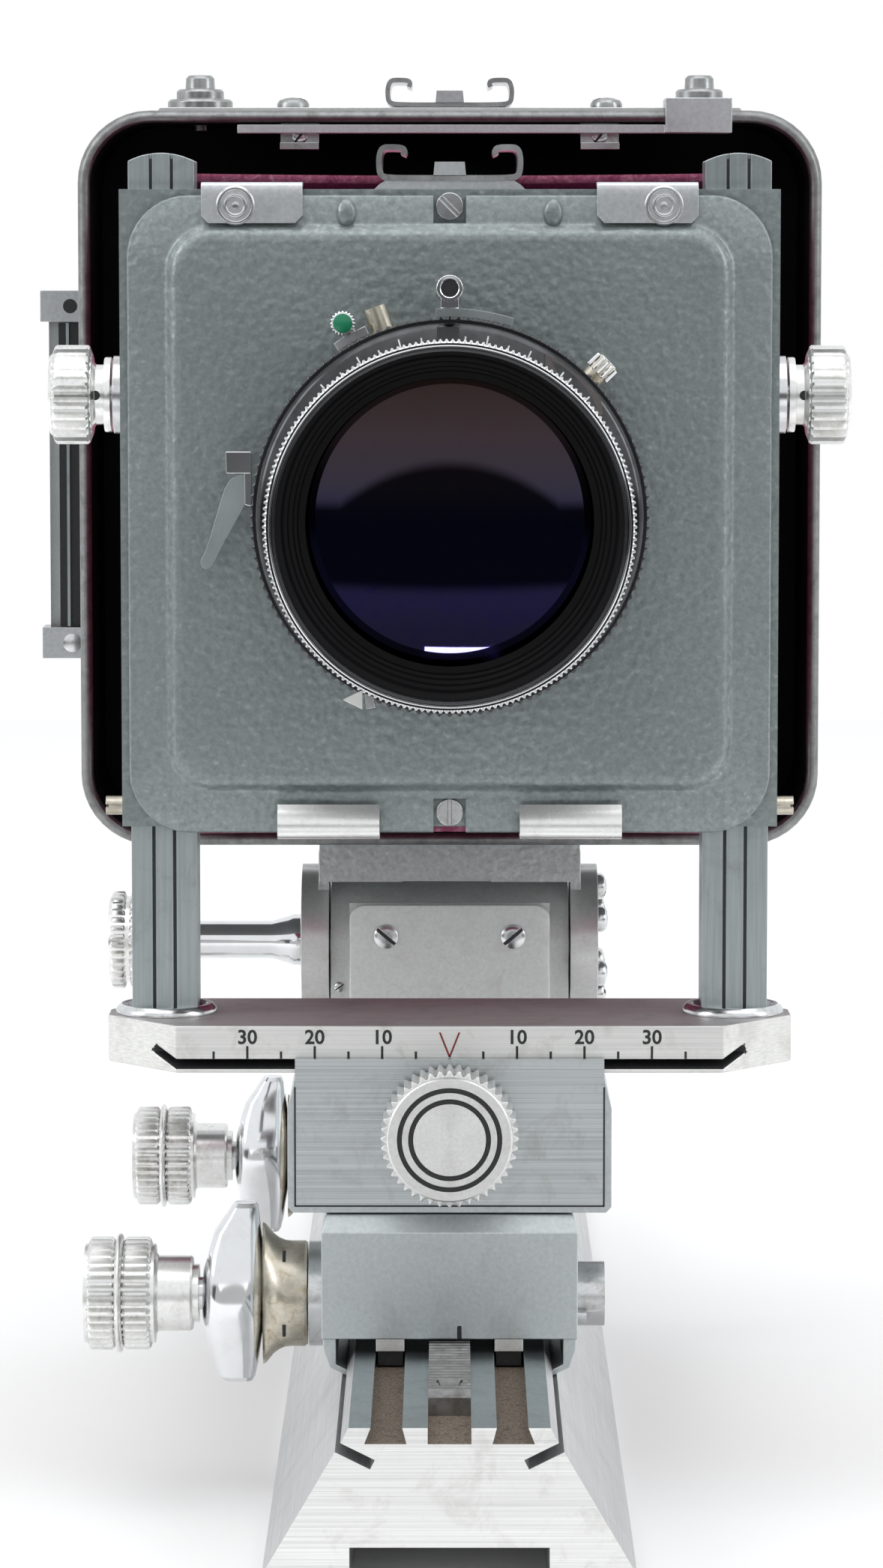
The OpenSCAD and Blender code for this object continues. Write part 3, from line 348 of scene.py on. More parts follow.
def loft(rings, caps=True, loop=False):
    count = len(rings[0])
    verts = [p for ring in rings for p in ring]
    faces = []
    last = len(rings) if loop else len(rings) - 1
    for i in range(last):
        a, b = i * count, (i + 1) % len(rings) * count
        for k in range(count):
            m = (k + 1) % count
            faces.append((a + k, a + m, b + m, b + k))
    if caps and not loop:
        faces.append(tuple(range(count))[::-1])
        faces.append(tuple((len(rings) - 1) * count + k for k in range(count)))
    return verts, faces


def lathe(profile, axis, centre, n=64, closed=False, caps=True, start=0.0):
    """Turned shape from (radius, place) pairs, places counted from start. A closed profile makes a ring."""
    rings = [[point(axis, centre[0] + r * cos(TAU * k / n), centre[1] + r * sin(TAU * k / n), t + start)
        for k in range(n)] for r, t in profile]
    return loft(rings, caps=caps and not closed, loop=closed)


def prism(outline, axis, t0, t1):
    return loft([[point(axis, a, b, t) for a, b in outline] for t in (t0, t1)])


def block(x0, x1, y0, y1, z0, z1):
    return prism([(x0, z0), (x1, z0), (x1, z1), (x0, z1)], "y", y0, y1)


def fluted(axis, centre, t0, t1, n, r0, r1, chamfer=0.5, flat=0.45, fine=8, tail=0.0, caps=True):
    """A band of milled ridges with chamfered ends."""
    def radius(k, share):
        wave = 0.5 + 0.5 * cos(TAU * k / fine)
        tooth = min(1.0, max(0.0, (wave - 0.5 + flat) / (2 * flat)))
        return r0 + (r1 - r0) * tooth * share
    rings = []
    for t, share, drop in ((t0, 0.0, chamfer), (t0 + chamfer * 0.6, 0.75, tail), (t0 + chamfer, 1.0, 0),
            (t1 - chamfer, 1.0, 0), (t1 - chamfer * 0.6, 0.75, tail), (t1, 0.0, chamfer)):
        ring = []
        for k in range(n * fine):
            r, a = radius(k % fine, share) - drop * 0.6, TAU * k / (n * fine)
            ring.append(point(axis, centre[0] + r * cos(a), centre[1] + r * sin(a), t))
        rings.append(ring)
    return loft(rings, caps)


QUADRANTS = ((1, 1), (-1, 1), (-1, -1), (1, -1))


def rounded(w, h, r, n=8):
    """Corner-rounded rectangle about the origin, 4 * (n + 1) points."""
    out = []
    for q, (sx, sz) in enumerate(QUADRANTS):
        for k in range(n + 1):
            a = (q + k / n) * pi / 2
            out.append((sx * (w / 2 - r) + r * cos(a), sz * (h / 2 - r) + r * sin(a)))
    return out


def stack(rows, n=10):
    """Corner-rounded sections one behind the other, for a loft."""
    return [[(a, y, z + b) for a, b in rounded(w, h, r, n)] for w, h, r, y, z in rows]


def smooth_path(points, rounds=3):
    for _ in range(rounds):
        cut = [points[0]]
        for (ax, az), (bx, bz) in zip(points, points[1:]):
            cut += [(0.75 * ax + 0.25 * bx, 0.75 * az + 0.25 * bz), (0.25 * ax + 0.75 * bx, 0.25 * az + 0.75 * bz)]
        points = cut + [points[-1]]
    return points


def sheet_outline(path, t):
    """Outline of bent sheet of thickness t along a centre path."""
    left, right = [], []
    for i, (x, z) in enumerate(path):
        (ax, az), (bx, bz) = path[max(0, i - 1)], path[min(len(path) - 1, i + 1)]
        d = hypot(bx - ax, bz - az) or 1
        nx, nz = -(bz - az) / d * t / 2, (bx - ax) / d * t / 2
        left.append((x + nx, z + nz))
        right.append((x - nx, z - nz))
    return left + right[::-1]


def mirrored(shape):
    verts, faces = shape
    return [(-x, y, z) for x, y, z in verts], [f[::-1] for f in faces]


def spun(shape, degrees, cx, cz, axis="y"):
    """A shape turned about a line along Y (or X) through cx, cz."""
    c, s = cos(radians(degrees)), sin(radians(degrees))
    if axis == "y":
        verts = [(cx + (x - cx) * c - (z - cz) * s, y, cz + (x - cx) * s + (z - cz) * c) for x, y, z in shape[0]]
    else:
        verts = [(x, cx + (y - cx) * c - (z - cz) * s, cz + (y - cx) * s + (z - cz) * c) for x, y, z in shape[0]]
    return verts, shape[1]


def placed(name, data):
    """A new object in the scene."""
    obj = bpy.data.objects.new(name, data)
    bpy.context.scene.collection.objects.link(obj)
    return obj


def finish_mesh(mesh, angle=38):
    bm = bmesh.new()
    bm.from_mesh(mesh)
    bmesh.ops.remove_doubles(bm, verts=bm.verts, dist=2e-6)
    bmesh.ops.dissolve_degenerate(bm, edges=bm.edges, dist=1e-6)
    bmesh.ops.recalc_face_normals(bm, faces=bm.faces)
    limit = radians(angle)
    for face in bm.faces:
        face.smooth = True
    for edge in bm.edges:
        edge.smooth = len(edge.link_faces) == 2 and edge.calc_face_angle(0.0) < limit
    bm.to_mesh(mesh)
    bm.free()


def soften(obj, width, segments=2, angle=38):
    """Rounds the edges of a machined piece."""
    mod = obj.modifiers.new("edges", "BEVEL")
    mod.width, mod.segments = width * MM, segments
    mod.limit_method, mod.angle_limit = "ANGLE", radians(angle)
    mod.harden_normals = True
    mod.use_clamp_overlap = True
    mod.miter_outer = "MITER_ARC"


def piece(name, shapes, body, nodes=(), bevel=0.0, segments=2, angle=38):
    """One object from (material, shape) pairs, riding on a body and standing for CAD nodes."""
    verts, faces, marks, mats = [], [], [], []
    for mat, shape in shapes:
        if mat not in mats:
            mats.append(mat)
        base = len(verts)
        verts += [Vector(p) * MM for p in shape[0]]
        faces += [tuple(base + k for k in f) for f in shape[1]]
        marks += [mats.index(mat)] * len(shape[1])
    mesh = bpy.data.meshes.new(name)
    mesh.from_pydata(verts, [], faces)
    for mat in mats:
        mesh.materials.append(mat)
    mesh.polygons.foreach_set("material_index", marks)
    finish_mesh(mesh, angle)
    obj = placed(name, mesh)
    if bevel:
        soften(obj, bevel, segments, angle)
    if body:
        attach(obj, body)
    if nodes:
        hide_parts(*nodes)
    return obj


def paint(mesh, mats, pick):
    """Gives a mesh more materials; pick chooses one by number for each face."""
    for each in mats:
        mesh.materials.append(each)
    for poly in mesh.polygons:
        poly.material_index = pick(poly.center / MM, poly.normal)


BODY_OF = {n: b for b, names in frame["record"]["behaviour"]["bodies"].items() for n in names}


def refined(node, mat, bevel=0.25, segments=2, pick=None, others=(), angle=38):
    """The CAD node's own shape with its edges rounded, as a machined piece has."""
    mesh = frame["nodes"][node].data.copy()
    mesh.name = node + "_finished"
    bm = bmesh.new()
    bm.from_mesh(mesh)
    bmesh.ops.remove_doubles(bm, verts=bm.verts, dist=5e-6)
    bmesh.ops.dissolve_limit(bm, angle_limit=radians(0.6), verts=bm.verts, edges=bm.edges)
    bm.to_mesh(mesh)
    bm.free()
    mesh.materials.clear()
    paint(mesh, (mat, *others), pick or (lambda c, n: 0))
    finish_mesh(mesh, angle)
    obj = placed(node + "_finished", mesh)
    if bevel:
        soften(obj, bevel, segments, angle)
    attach(obj, BODY_OF[node])
    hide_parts(node)
    return obj


def cut(obj, *shapes, angle=38):
    """Takes shapes out of a piece and finishes its mesh."""
    for shape in shapes:
        mesh = bpy.data.meshes.new("cutter")
        mesh.from_pydata([Vector(p) * MM for p in shape[0]], [], shape[1])
        finish_mesh(mesh)
        tool = placed("cutter", mesh)
        mod = obj.modifiers.new("cut", "BOOLEAN")
        mod.operation, mod.object, mod.solver = "DIFFERENCE", tool, "EXACT"
        if "edges" in obj.modifiers:
            obj.modifiers.move(len(obj.modifiers) - 1, 0)
        bpy.context.view_layer.update()
        held = [m for m in obj.modifiers if m.type == "BEVEL"]
        for m in held:
            m.show_viewport = False
        graph = bpy.context.evaluated_depsgraph_get()
        made = bpy.data.meshes.new_from_object(obj.evaluated_get(graph))
        for m in held:
            m.show_viewport = True
        obj.modifiers.remove(mod)
        obj.data = made
        bpy.data.objects.remove(tool)
    finish_mesh(obj.data, angle)


CAP_HEIGHT = 0.69  # of the font's figures at size 1


def lettering(text, height, x, y, z, depth=0.12, bold=0.0):
    """Figures standing on a front face, as a shape centred on x with its foot at z."""
    curve = bpy.data.curves.new("figures", "FONT")
    curve.body, curve.align_x, curve.extrude, curve.offset = text, "CENTER", 0.5, bold
    curve.resolution_u = 3
    obj = placed("figures", curve)
    mesh = bpy.data.meshes.new_from_object(obj.evaluated_get(bpy.context.evaluated_depsgraph_get()))
    bpy.data.objects.remove(obj)
    k = height / CAP_HEIGHT
    verts = [(x + v.co.x * k, y - v.co.z * depth, z + v.co.y * k) for v in mesh.vertices]
    return verts, [tuple(p.vertices) for p in mesh.polygons]


def screw(axis, centre, face, out, r, h, turn=20, mat=None):
    """Domed slotted head standing on a face: out is +1 or -1 along the axis."""
    dome = [(r, 0.45), (r * 0.86, 0.8), (r * 0.5, 1.0), (0.0, 1.05)]
    head = lathe([(0.0, face), (r, face)] + [(p, face + out * h * q) for p, q in dome], axis, centre, 28)
    c, s = cos(radians(turn)), sin(radians(turn))
    # the slot is a black block across the head: painted shade in the slot
    rings = []
    for a, top in [(-p, q) for p, q in dome] + [(p, q) for p, q in dome[-2::-1]]:
        a *= 0.98
        rings.append([point(axis, centre[0] + a * c - b * s, centre[1] + a * s + b * c, face + out * t)
            for b, t in ((-0.15 * r, 0.3 * h), (0.15 * r, 0.3 * h), (0.15 * r, top * h + 0.03),
            (-0.15 * r, top * h + 0.03))])
    return [(mat or STEEL, head), (INK_AND_SHADE, loft(rings))]


# ------------------------------------------------------------ rail and its parts

def rail_zone(c, n):
    if abs(n.z) > 0.5 and 23 < c.z < 24.5 and abs(c.x) < 12.5:
        return 1
    if n.z > 0.9 and c.z > 25.5:
        return 2
    # the sides take the darker flank metal: painted shade
    return 3 if abs(n.x) > 0.25 and abs(n.y) < 0.1 else 0


refined("rail", RAIL, 0.18, 2, rail_zone, (GRIME, POST, SHADED_FLANK))
refined("rail_rack", RACK, 0.05, 1)
refined("rail_screws", STEEL, 0.1, 1)
a = span("front_carriage")[2] - 0.02
piece("index_tick", [(INK_AND_SHADE, block(1.2, 1.7, a, a + 0.3, 28.3, 30.2))], "front_carriage")
refined("tripod_block", SATIN, 0.4)
refined("tripod_bush", BRASS, 0.15)

for side in ("front", "rear"):
    refined(f"{side}_carriage", BODY, 0.45, 3, angle=18)
    # Shoes black below 26.05 mm and on faces looking down: painted shade under the shoes, the lower part also
    # standing for the dark spring.
    refined(f"{side}_guide_shoes", PALE, 0.12, 2, lambda c, n: 1 if c.z < 26.05 or n.z < -0.5 else 0, (INK_AND_SHADE,))
    refined(f"{side}_shaft_bearings", STEEL, 0.45, 3)
    refined(f"{side}_pinion_shaft", STEEL, 0.06, 1)

    # fluted focusing knob in two bands with a smooth ring between them
    x0, x1, y0, y1, z0, z1 = span(f"{side}_focus_knob")
    at = ((y0 + y1) / 2, (z0 + z1) / 2)
    face = (z1 - z0) / 2 - 0.45
    piece(f"{side}_focus_knob_turned", [
        (KNOB, fluted("x", at, x0 + 0.3, x0 + 4.8, 36, face - 1.05, face, 0.75, 0.22)),
        (KNOB, fluted("x", at, x0 + 5.6, x1 - 6.9, 36, face - 1.05, face, 0.75, 0.22)),
        (KNOB, lathe([(face - 0.7, 4.6), (face + 0.2, 4.8), (face + 0.45, 5.1), (face + 0.45, 5.3),
            (face + 0.2, 5.6), (face - 0.7, 5.8)], "x", at, 96, start=x0)),
        (KNOB, lathe([(0.0, x0 + 0.5), (5.8, x0 + 0.5), (6.4, x0), (face - 1.1, x0), (face - 1.1, x1 - 6.6),
            (6.2, x1 - 6.5), (5.7, x1 - 6.1), (5.7, x1 - 1.2), (5.4, x1 - 0.9), (4.4, x1 - 0.9), (4.4, x1),
            (0.0, x1)], "x", at, 72))], f"{side}_knob", [f"{side}_focus_knob"], 0.1, 1)

    # polished wing lever: a tall faceted wing, thick at the hub
    zc = at[1]
    wing_hub = 31.86  # height of the hub in these rows
    rows = [(18.7, -33.9, -30.2, 1.2), (18.62, -34.3, -29.9, 2.0), (19.3, -35.0, -29.5, 2.7),
        (21.5, -35.9, -29.0, 3.3), (25.0, -36.9, -28.5, 4.3), (28.5, -37.5, -28.1, 5.2), (32.0, -37.6, -27.95, 5.5),
        (35.5, -37.3, -28.0, 5.0), (38.5, -36.7, -28.2, 4.0), (41.4, -35.7, -28.5, 3.3), (43.6, -34.1, -28.8, 2.9),
        (45.3, -33.0, -29.0, 2.4), (45.9, -32.5, -29.3, 1.6), (45.86, -32.0, -29.8, 0.9)]
    rings = []
    for z, left, right, deep in rows:
        cx, hx = (left + right) / 2, (right - left) / 2
        rings.append([(cx + hx * copysign(abs(cos(a)) ** 0.62, cos(a)),
            at[0] + deep * copysign(abs(sin(a)) ** 0.72, sin(a)), z - wing_hub + zc)
            for a in (TAU * k / 40 for k in range(40))])
    piece(f"{side}_wing_lever", [(CHROME, loft(rings))], f"{side}_lock", [f"{side}_lock_lever"], angle=24)

    # its boss flares out towards the wing and is slit four times; the slits are black blocks on it, painted shade
    rings = []
    for x, ry, rz in ((-28.3, 4.2, 10.9), (-27.9, 5.4, 10.7), (-27.4, 6.0, 10.1), (-26.7, 6.8, 9.2),
            (-25.8, 7.4, 8.5), (-24.9, 7.8, 8.1), (-24.0, 8.0, 8.0), (-21.9, 8.0, 8.0), (-21.5, 7.7, 7.7)):
        rings.append([(x, at[0] + ry * cos(TAU * k / 56), at[1] + rz * sin(TAU * k / 56)) for k in range(56)])
    slit_shade = [(INK_AND_SHADE,
        spun(block(-25.2, -24.7, at[0] - 1.1, at[0] + 1.1, at[1] + 7.3, at[1] + 8.06), turn, at[0], at[1], "x"))
        for turn in (35, 125, 215, 305)]
    piece(f"{side}_lever_boss", [(BRASS, loft(rings))] + slit_shade, f"{side}_lock", [f"{side}_lock_collar"], angle=30)

# ------------------------------------------------------------ front standard, lower part

refined("front_cradle", BODY, 0.3, 2, angle=25)
refined("front_shift_block", BLOCK, 0.2)
bl = span("front_shift_block")
cr = span("front_cradle")
gap_y = bl[2] - 0.03
# Black strips along the block's sides and bottom: painted shade in the gap between block and cradle.
edge = [
    (INK_AND_SHADE, block(s * bl[1] - 0.14, s * bl[1] + 0.12, gap_y, gap_y + 0.3, bl[4] - 0.1, cr[5] - 0.4)) for s in (-1, 1)]
edge.append((INK_AND_SHADE, block(bl[0] - 0.1, bl[1] + 0.1, gap_y, gap_y + 0.3, bl[4] - 0.14, bl[4] + 0.12)))
piece("block_gap_shade", edge, "front_swivel")


# Darker copy of the bar metal for the bar's top: painted shade standing for the dark reflection on it.
TOP = metal("BarTopPaintedShade", (0.4, 0.38, 0.38), (0.56, 0.54, 0.54), (0.42, 0.55), (30, 1200, 1200), 0.008, 40,
    (0.2, 0.18, 0.17), 0.3, 0.7)
bx0, bx1, by0, by1, bz0, bz1 = span("base_bar")
plan = [(-40.6, by0), (40.6, by0), (bx1, by0 + 12), (bx1, by1 - 12), (40.6, by1), (-40.6, by1), (bx0, by1 - 12),
    (bx0, by0 + 12)]
bar = piece("base_bar_milled", [(BAR, prism(plan, "z", bz0, bz1))], "front_bar", ["base_bar"], 0.3, 2)
slot = [(4.2, 2.73), (-12.25, -5.5), (-12.8, -4.42), (3.66, 3.8)]
cut(bar, prism([(by0 + a, bz0 + b) for a, b in slot], "x", bx0 - 2, bx1 + 2),
    prism([(by1 - a, bz0 + b) for a, b in slot], "x", bx0 - 2, bx1 + 2))
# the top face gets the darker top metal, painted shade; the sloping faces of the two slots go black, painted shade
# in the slots
paint(bar.data, (TOP, INK_AND_SHADE), lambda c, n: 1 if n.z > 0.9 and c.z > bz1 - 0.1 else 2 if abs(n.y) > 0.3
    and abs(n.z) > 0.3 and c.z > bz0 + 0.05 else 0)
FACE_Y = by0 - 0.02
scale = []
for i in range(-7, 8):
    if i == 0:
        continue
    tall = 1.9 if i % 2 == 0 else 1.1
    scale.append((INK_AND_SHADE, block(5 * i - 0.18, 5 * i + 0.18, FACE_Y, by0 + 0.36, bz0 + 2.15, bz0 + 2.15 + tall)))
for value in (10, 20, 30):
    for sign in (-1, 1):
        scale.append((INK_AND_SHADE, lettering(str(value), 2.05, sign * value, FACE_Y + 0.05, bz0 + 4.4, 0.12, 0.022)))
piece("bar_scale", scale, "front_bar")
vee = prism([(-1.6, bz0 + 6.1), (-1.3, bz0 + 6.1), (0.16, bz0 + 2.4), (-0.14, bz0 + 2.4)], "y", FACE_Y, by0 + 0.05)
piece("bar_centre_mark", [(RED, vee), (RED, mirrored(vee))], "front_bar")

# shift lock knob: pointed ridges, two filled grooves, a turned centre
front, _, kz0, kz1 = span("shift_lock_knob")[2:]
kc = (0.0, (kz0 + kz1) / 2)
piece("shift_lock_knob_turned", [(PALE, fluted("y", kc, front + 0.8, front + 8.3, 44, 9.35, 10.2, 0.3, 0.5, 6)),
    (PALE, lathe([(9.25, 0.9), (9.25, 0.25), (9.0, 0), (7.7, 0), (7.68, 0.35), (7.02, 0.35), (7.0, 0), (6.05, 0),
        (6.03, 0.35), (5.37, 0.35), (5.35, 0), (0.0, 0), (0.0, 8.4), (9.1, 8.4)], "y", kc, 88, start=front)),
    (INK_AND_SHADE, lathe([(7.03, 0.36), (7.03, 0.12), (7.67, 0.12), (7.67, 0.36)], "y", kc, 88, True, start=front)),
    (INK_AND_SHADE, lathe([(5.38, 0.36), (5.38, 0.12), (6.02, 0.12), (6.02, 0.36)], "y", kc, 88, True, start=front)),
    (STEEL, lathe([(5.4, front + 8.0), (5.4, front + 9.4), (2.5, front + 9.4), (2.5, -84.0), (0.0, -84.0)], "y", kc,
        48))], "shift_lock", ["shift_lock_knob"], 0.06, 1)
piece("shift_lock_knob_face",
    [(SPUN, lathe([(5.33, 0.1), (5.28, -0.005), (0.0, -0.005)], "y", kc, 88, start=front))], "shift_lock")

POST_GROOVE, POST_FACE = 1.55, 50.45
for side, sx in (("left", -1), ("right", 1)):
    px0, px1, py0, _, _, pz1 = span(f"post_{side}")
    px = (px0 + px1) / 2
    refined(f"post_{side}", POST, 0.35, 2, lambda c, n: 1 if c.z > 200.5 else 0, (SATIN,), 30)
    # Black strips where the grooves run down the posts: painted shade in the grooves.
    piece(f"post_{side}_grooves", [
        (INK_AND_SHADE, block(px + g - 0.2, px + g + 0.2, py0 + 0.15, py0 + 0.55, bz1 + 0.2, pz1 - 0.9))
        for g in (-POST_GROOVE, POST_GROOVE)], "front_bar")
_, rx1, ry0, ry1, rz0, rz1 = span("post_rings")
ring_r = (ry1 - ry0) / 2
foot = lathe([(4.9, rz0), (ring_r, rz0), (ring_r, rz0 + 0.5), (ring_r - 0.25, rz0 + 0.95), (ring_r - 0.8, rz1),
    (6.1, rz1), (5.6, rz0 + 0.9), (4.9, rz0 + 0.7)], "z", (rx1 - ring_r, (ry0 + ry1) / 2), 72, True)
piece("post_ring_pair", [(STEEL, foot), (STEEL, mirrored(foot))], "front_bar", ["post_rings"], 0.12, 2)

# ------------------------------------------------------------ lens frame, board, catches

refined("lens_frame", HAMMER, 0.4, 2)
fy0 = span("lens_frame")[2]
ly0 = span("lensboard")[2]
LENS_Z = sum(span("filter_ring")[4:]) / 2
flange_y = fy0 - 1.5
mid, top_mid = 150.4, 151.4  # centre heights of the flange and of the raised field
# width, height, corner radius, place and centre height of each section
BOARD_ROWS = [(94.4, 93.6, 8.7, fy0, mid), (95.0, 94.2, 9.0, fy0 - 0.3, mid),
    (95.0, 94.2, 9.0, flange_y + 0.3, mid), (94.4, 93.6, 8.7, flange_y, mid), (84.6, 84.6, 7.2, flange_y, top_mid),
    (83.7, 83.7, 6.8, flange_y - 0.15, top_mid), (83.0, 83.0, 6.5, flange_y - 0.5, top_mid),
    (82.0, 82.0, 6.1, ly0 + 0.7, top_mid), (81.2, 81.2, 5.8, ly0 + 0.28, top_mid),
    (80.0, 80.0, 5.4, ly0 + 0.05, top_mid), (78.6, 78.6, 5.0, ly0, top_mid), (77.6, 77.6, 4.6, ly0 + 1.5, top_mid),
    (80.0, 80.0, 4.6, flange_y + 0.4, top_mid), (80.4, 80.4, 4.6, fy0, top_mid)]
rings = stack(BOARD_ROWS, 11)
HOLE_R = 19.2
rings[11:11] = [
    [(HOLE_R * cos(atan2(b, a)), y, LENS_Z + HOLE_R * sin(atan2(b, a))) for a, b in rounded(78.6, 78.6, 5.0, 11)]
    for y in (ly0, ly0 + 1.5)]
board = piece("lensboard_stamped", [(HAMMER, loft(rings, loop=True))], "front_standard", ["lensboard"], angle=50)
cut(board, block(-2.4, 2.4, ly0 - 1, fy0 + 1, 193.4, 200), block(-2.4, 2.4, ly0 - 1, fy0 + 1, 100, 108.4), angle=50)

stops = []
for sx in (-1, 1):
    bump = loft([[(sx * (15.2 + w * cos(TAU * k / 20)), flange_y + 0.05 - d, 194.9 + h * sin(TAU * k / 20))
        for k in range(20)] for w, h, d in ((1.5, 2.1, 0.0), (1.4, 2.0, 0.4), (1.0, 1.6, 0.75), (0.4, 0.9, 0.9))])
    stops += [(HAMMER, bump)]
piece("board_stops", stops, "front_standard")
refined("frame_fittings", STEEL, 0.12, 2, lambda c, n: 1 if c.z < 112 and abs(c.x) > 40 else 0, (BRASS,))

for side, sx in (("left", -1), ("right", 1)):
    a0, a1, c0, c1, d0, d1 = span(f"latch_{side}")
    cx, back = (a0 + a1) / 2, c1
    plate = smooth_path(
        [(c0 + 0.75, d0), (c0 + 0.75, d1 - 0.9), (c0 + 1.0, d1 - 0.3), (c0 + 1.7, d1 - 0.25), (back, d1 - 0.25)], 2)
    latch = piece(f"latch_{side}_folded", [(SATIN, prism(sheet_outline(plate, 0.55), "x", a0, a1))],
        f"latch_{side}", [f"latch_{side}"], 0.09, 2)
    cut(latch,
        *[spun(block(e - 0.75, e + 0.75, c0 - 1, c0 + 2, d0 - 0.75, d0 + 0.75), 45, e, d0) for e in (a0, a1)])
    pressed, flat, rivet = [], c0 + 0.48, (cx + sx * 2.4, 196.0)
    for r, out, wide in ((2.5, 0.2, 0.42), (1.5, 0.26, 0.36)):
        pressed.append((STEEL, lathe([(r - wide, flat + 0.1), (r - wide * 0.5, flat - out * 0.8), (r, flat - out),
            (r + wide * 0.5, flat - out * 0.8), (r + wide, flat + 0.1)], "y", rivet, 48, True)))
    pressed.append((STEEL, lathe([(0.6, 0.1), (0.45, -0.16), (0.0, -0.22)], "y", rivet, 24, start=flat)))
    piece(f"latch_{side}_rings", pressed, f"latch_{side}")

_, hx1, hy0, hy1, hz0, hz1 = span("board_hooks")
hook = smooth_path([(hy1, hz0 + 0.35), (hy0 + 2.2, hz0 + 0.35), (hy0 + 0.7, hz0 + 0.6), (hy0 + 0.3, hz0 + 1.6),
    (hy0 + 0.3, hz0 + 2.7), (hy0 + 0.8, hz0 + 4.0), (hy0 + 1.7, hz1 - 0.1)], 3)
hook = prism(sheet_outline(hook, 0.6), "x", hx1 - 15.1, hx1)
piece("board_hook_pair", [(HOOK, hook), (HOOK, mirrored(hook))], "front_standard", ["board_hooks"], 0.12, 2)


def shoe(name, node, body, base):
    """Accessory shoe: a base strip whose two sides curl over into lips."""
    t0, t1, u0, u1 = span(node)[2:]
    low = u0 + base + 0.45
    half = smooth_path([(0, low), (8.8, low), (10.2, low + 0.35), (10.42, low + 1.4), (10.42, u1 - 1.7),
        (9.95, u1 - 0.5), (8.6, u1 - 0.42), (6.95, u1 - 0.5), (6.6, u1 - 1.0), (6.85, u1 - 1.6)], 3)
    strip = prism(sheet_outline(half, 0.78), "y", t0, t1)
    stop = prism([(-2.4, low + 0.3), (2.4, low + 0.3), (2.2, low + 2.35), (-2.2, low + 2.35)], "y", t0, t0 + 2.4)
    shapes = [(STEEL, strip), (STEEL, mirrored(strip)), (SATIN, stop)]
    if base:
        shapes.append((SATIN, prism([(-11.1, u0), (11.1, u0), (10.4, u0 + 0.7), (9.4, u0 + base + 0.1),
            (-9.4, u0 + base + 0.1), (-10.4, u0 + 0.7)], "y", t0 + 0.5, t1 - 0.5)))
    for dy in (-5.0, 5.0):
        shapes += screw("z", (0.0, (t0 + t1) / 2 + dy), low + 0.35, 1, 1.9, 0.7, 35 + dy * 6)
    piece(name, shapes, body, [node], 0.08, 2)


shoe("front_shoe_curled", "front_shoe", "front_standard", 1.2)
shoe("rear_shoe_curled", "rear_shoe", "rear_standard", 0)

for side, sx in (("left", -1), ("right", 1)):
    x0, x1, y0, y1, z0, z1 = span(f"rise_knob_{side}")
    at, r = ((y0 + y1) / 2, (z0 + z1) / 2), (z1 - z0) / 2
    far, near = (x1, x0) if sx > 0 else (x0, x1)
    inner = sx * POST_FACE
    band = sorted((far - sx * 0.25, far - sx * 6.4))
    profile = [(0.0, far - sx * 0.3), (3.6, far - sx * 0.3), (4.2, far), (r - 1.6, far), (r - 1.2, far - sx * 0.4),
        (r - 1.2, far - sx * 6.3), (4.9, far - sx * 6.5), (4.5, far - sx * 6.9), (4.5, inner + sx * 1.1),
        (5.5, inner + sx * 1.0), (5.6, inner + sx * 0.7), (5.6, inner), (1.5, inner), (1.5, near), (0.0, near)]
    piece(f"rise_knob_{side}_turned", [(KNOB, fluted("x", at, band[0], band[1], 26, r - 1.05, r, 0.8, 0.22, 8)),
        (KNOB, lathe(profile, "x", at, 60)),
        (INK_AND_SHADE, lathe([(0.75, at[0] - 4.3), (0.7, at[0] - 4.53), (0.0, at[0] - 4.53)], "y", (inner + sx * 2.2, at[1]),
            24))], f"rise_knob_{side}", [f"rise_knob_{side}"], 0.1, 1)

# ------------------------------------------------------------ shutter and lens

t1 = span("speed_ring")[3]
HOUSE_Y = t1 + 0.3
lens = (0.0, LENS_Z)
refined("shutter_housing", BLACK, 0.2, 2, lambda c, n: 1 if hypot(c.x, c.z - LENS_Z) > 28.7 else 0, (BRASS,))
piece("housing_knurl", [
    (BLACK, fluted("y", lens, HOUSE_Y + a, HOUSE_Y + b, 120, 28.45, r, 0.25, 0.5, 6, caps=False))
    for a, b, r in ((0.15, 3.1, 28.95), (9.4, 11.6, 28.8))], "front_standard")
refined("retaining_ring", STEEL, 0.15)
piece("speed_ring_cone", [(NICKEL, lathe(
    [(20.5, 0), (27.4, 0), (27.95, -0.35), (28.0, -1.0), (27.7, -1.6), (27.2, -1.9), (20.5, -4.7)], "y", lens, 120,
    True, start=t1))], "speed_ring", ["speed_ring"], 0.08, 2)


SLOPE = 2.8 / 6.7  # of the speed ring's cone


def on_cone(degrees, r, along, across, lift=0.05, wide=0.0):
    """A thin mark lying on the speed ring's cone, at an angle round the lens axis."""
    def at(rr, side):
        y = t1 - 1.9 - (27.2 - rr) * SLOPE - lift
        a = radians(degrees) + side / rr
        return (rr * cos(a), y, LENS_Z + rr * sin(a))
    w = across / 2 + wide
    front_side = [at(r, -w), at(r + along, -w), at(r + along, w), at(r, w)]
    back_side = [(x, y + lift + 0.1, z) for x, y, z in front_side]
    return loft([front_side, back_side])


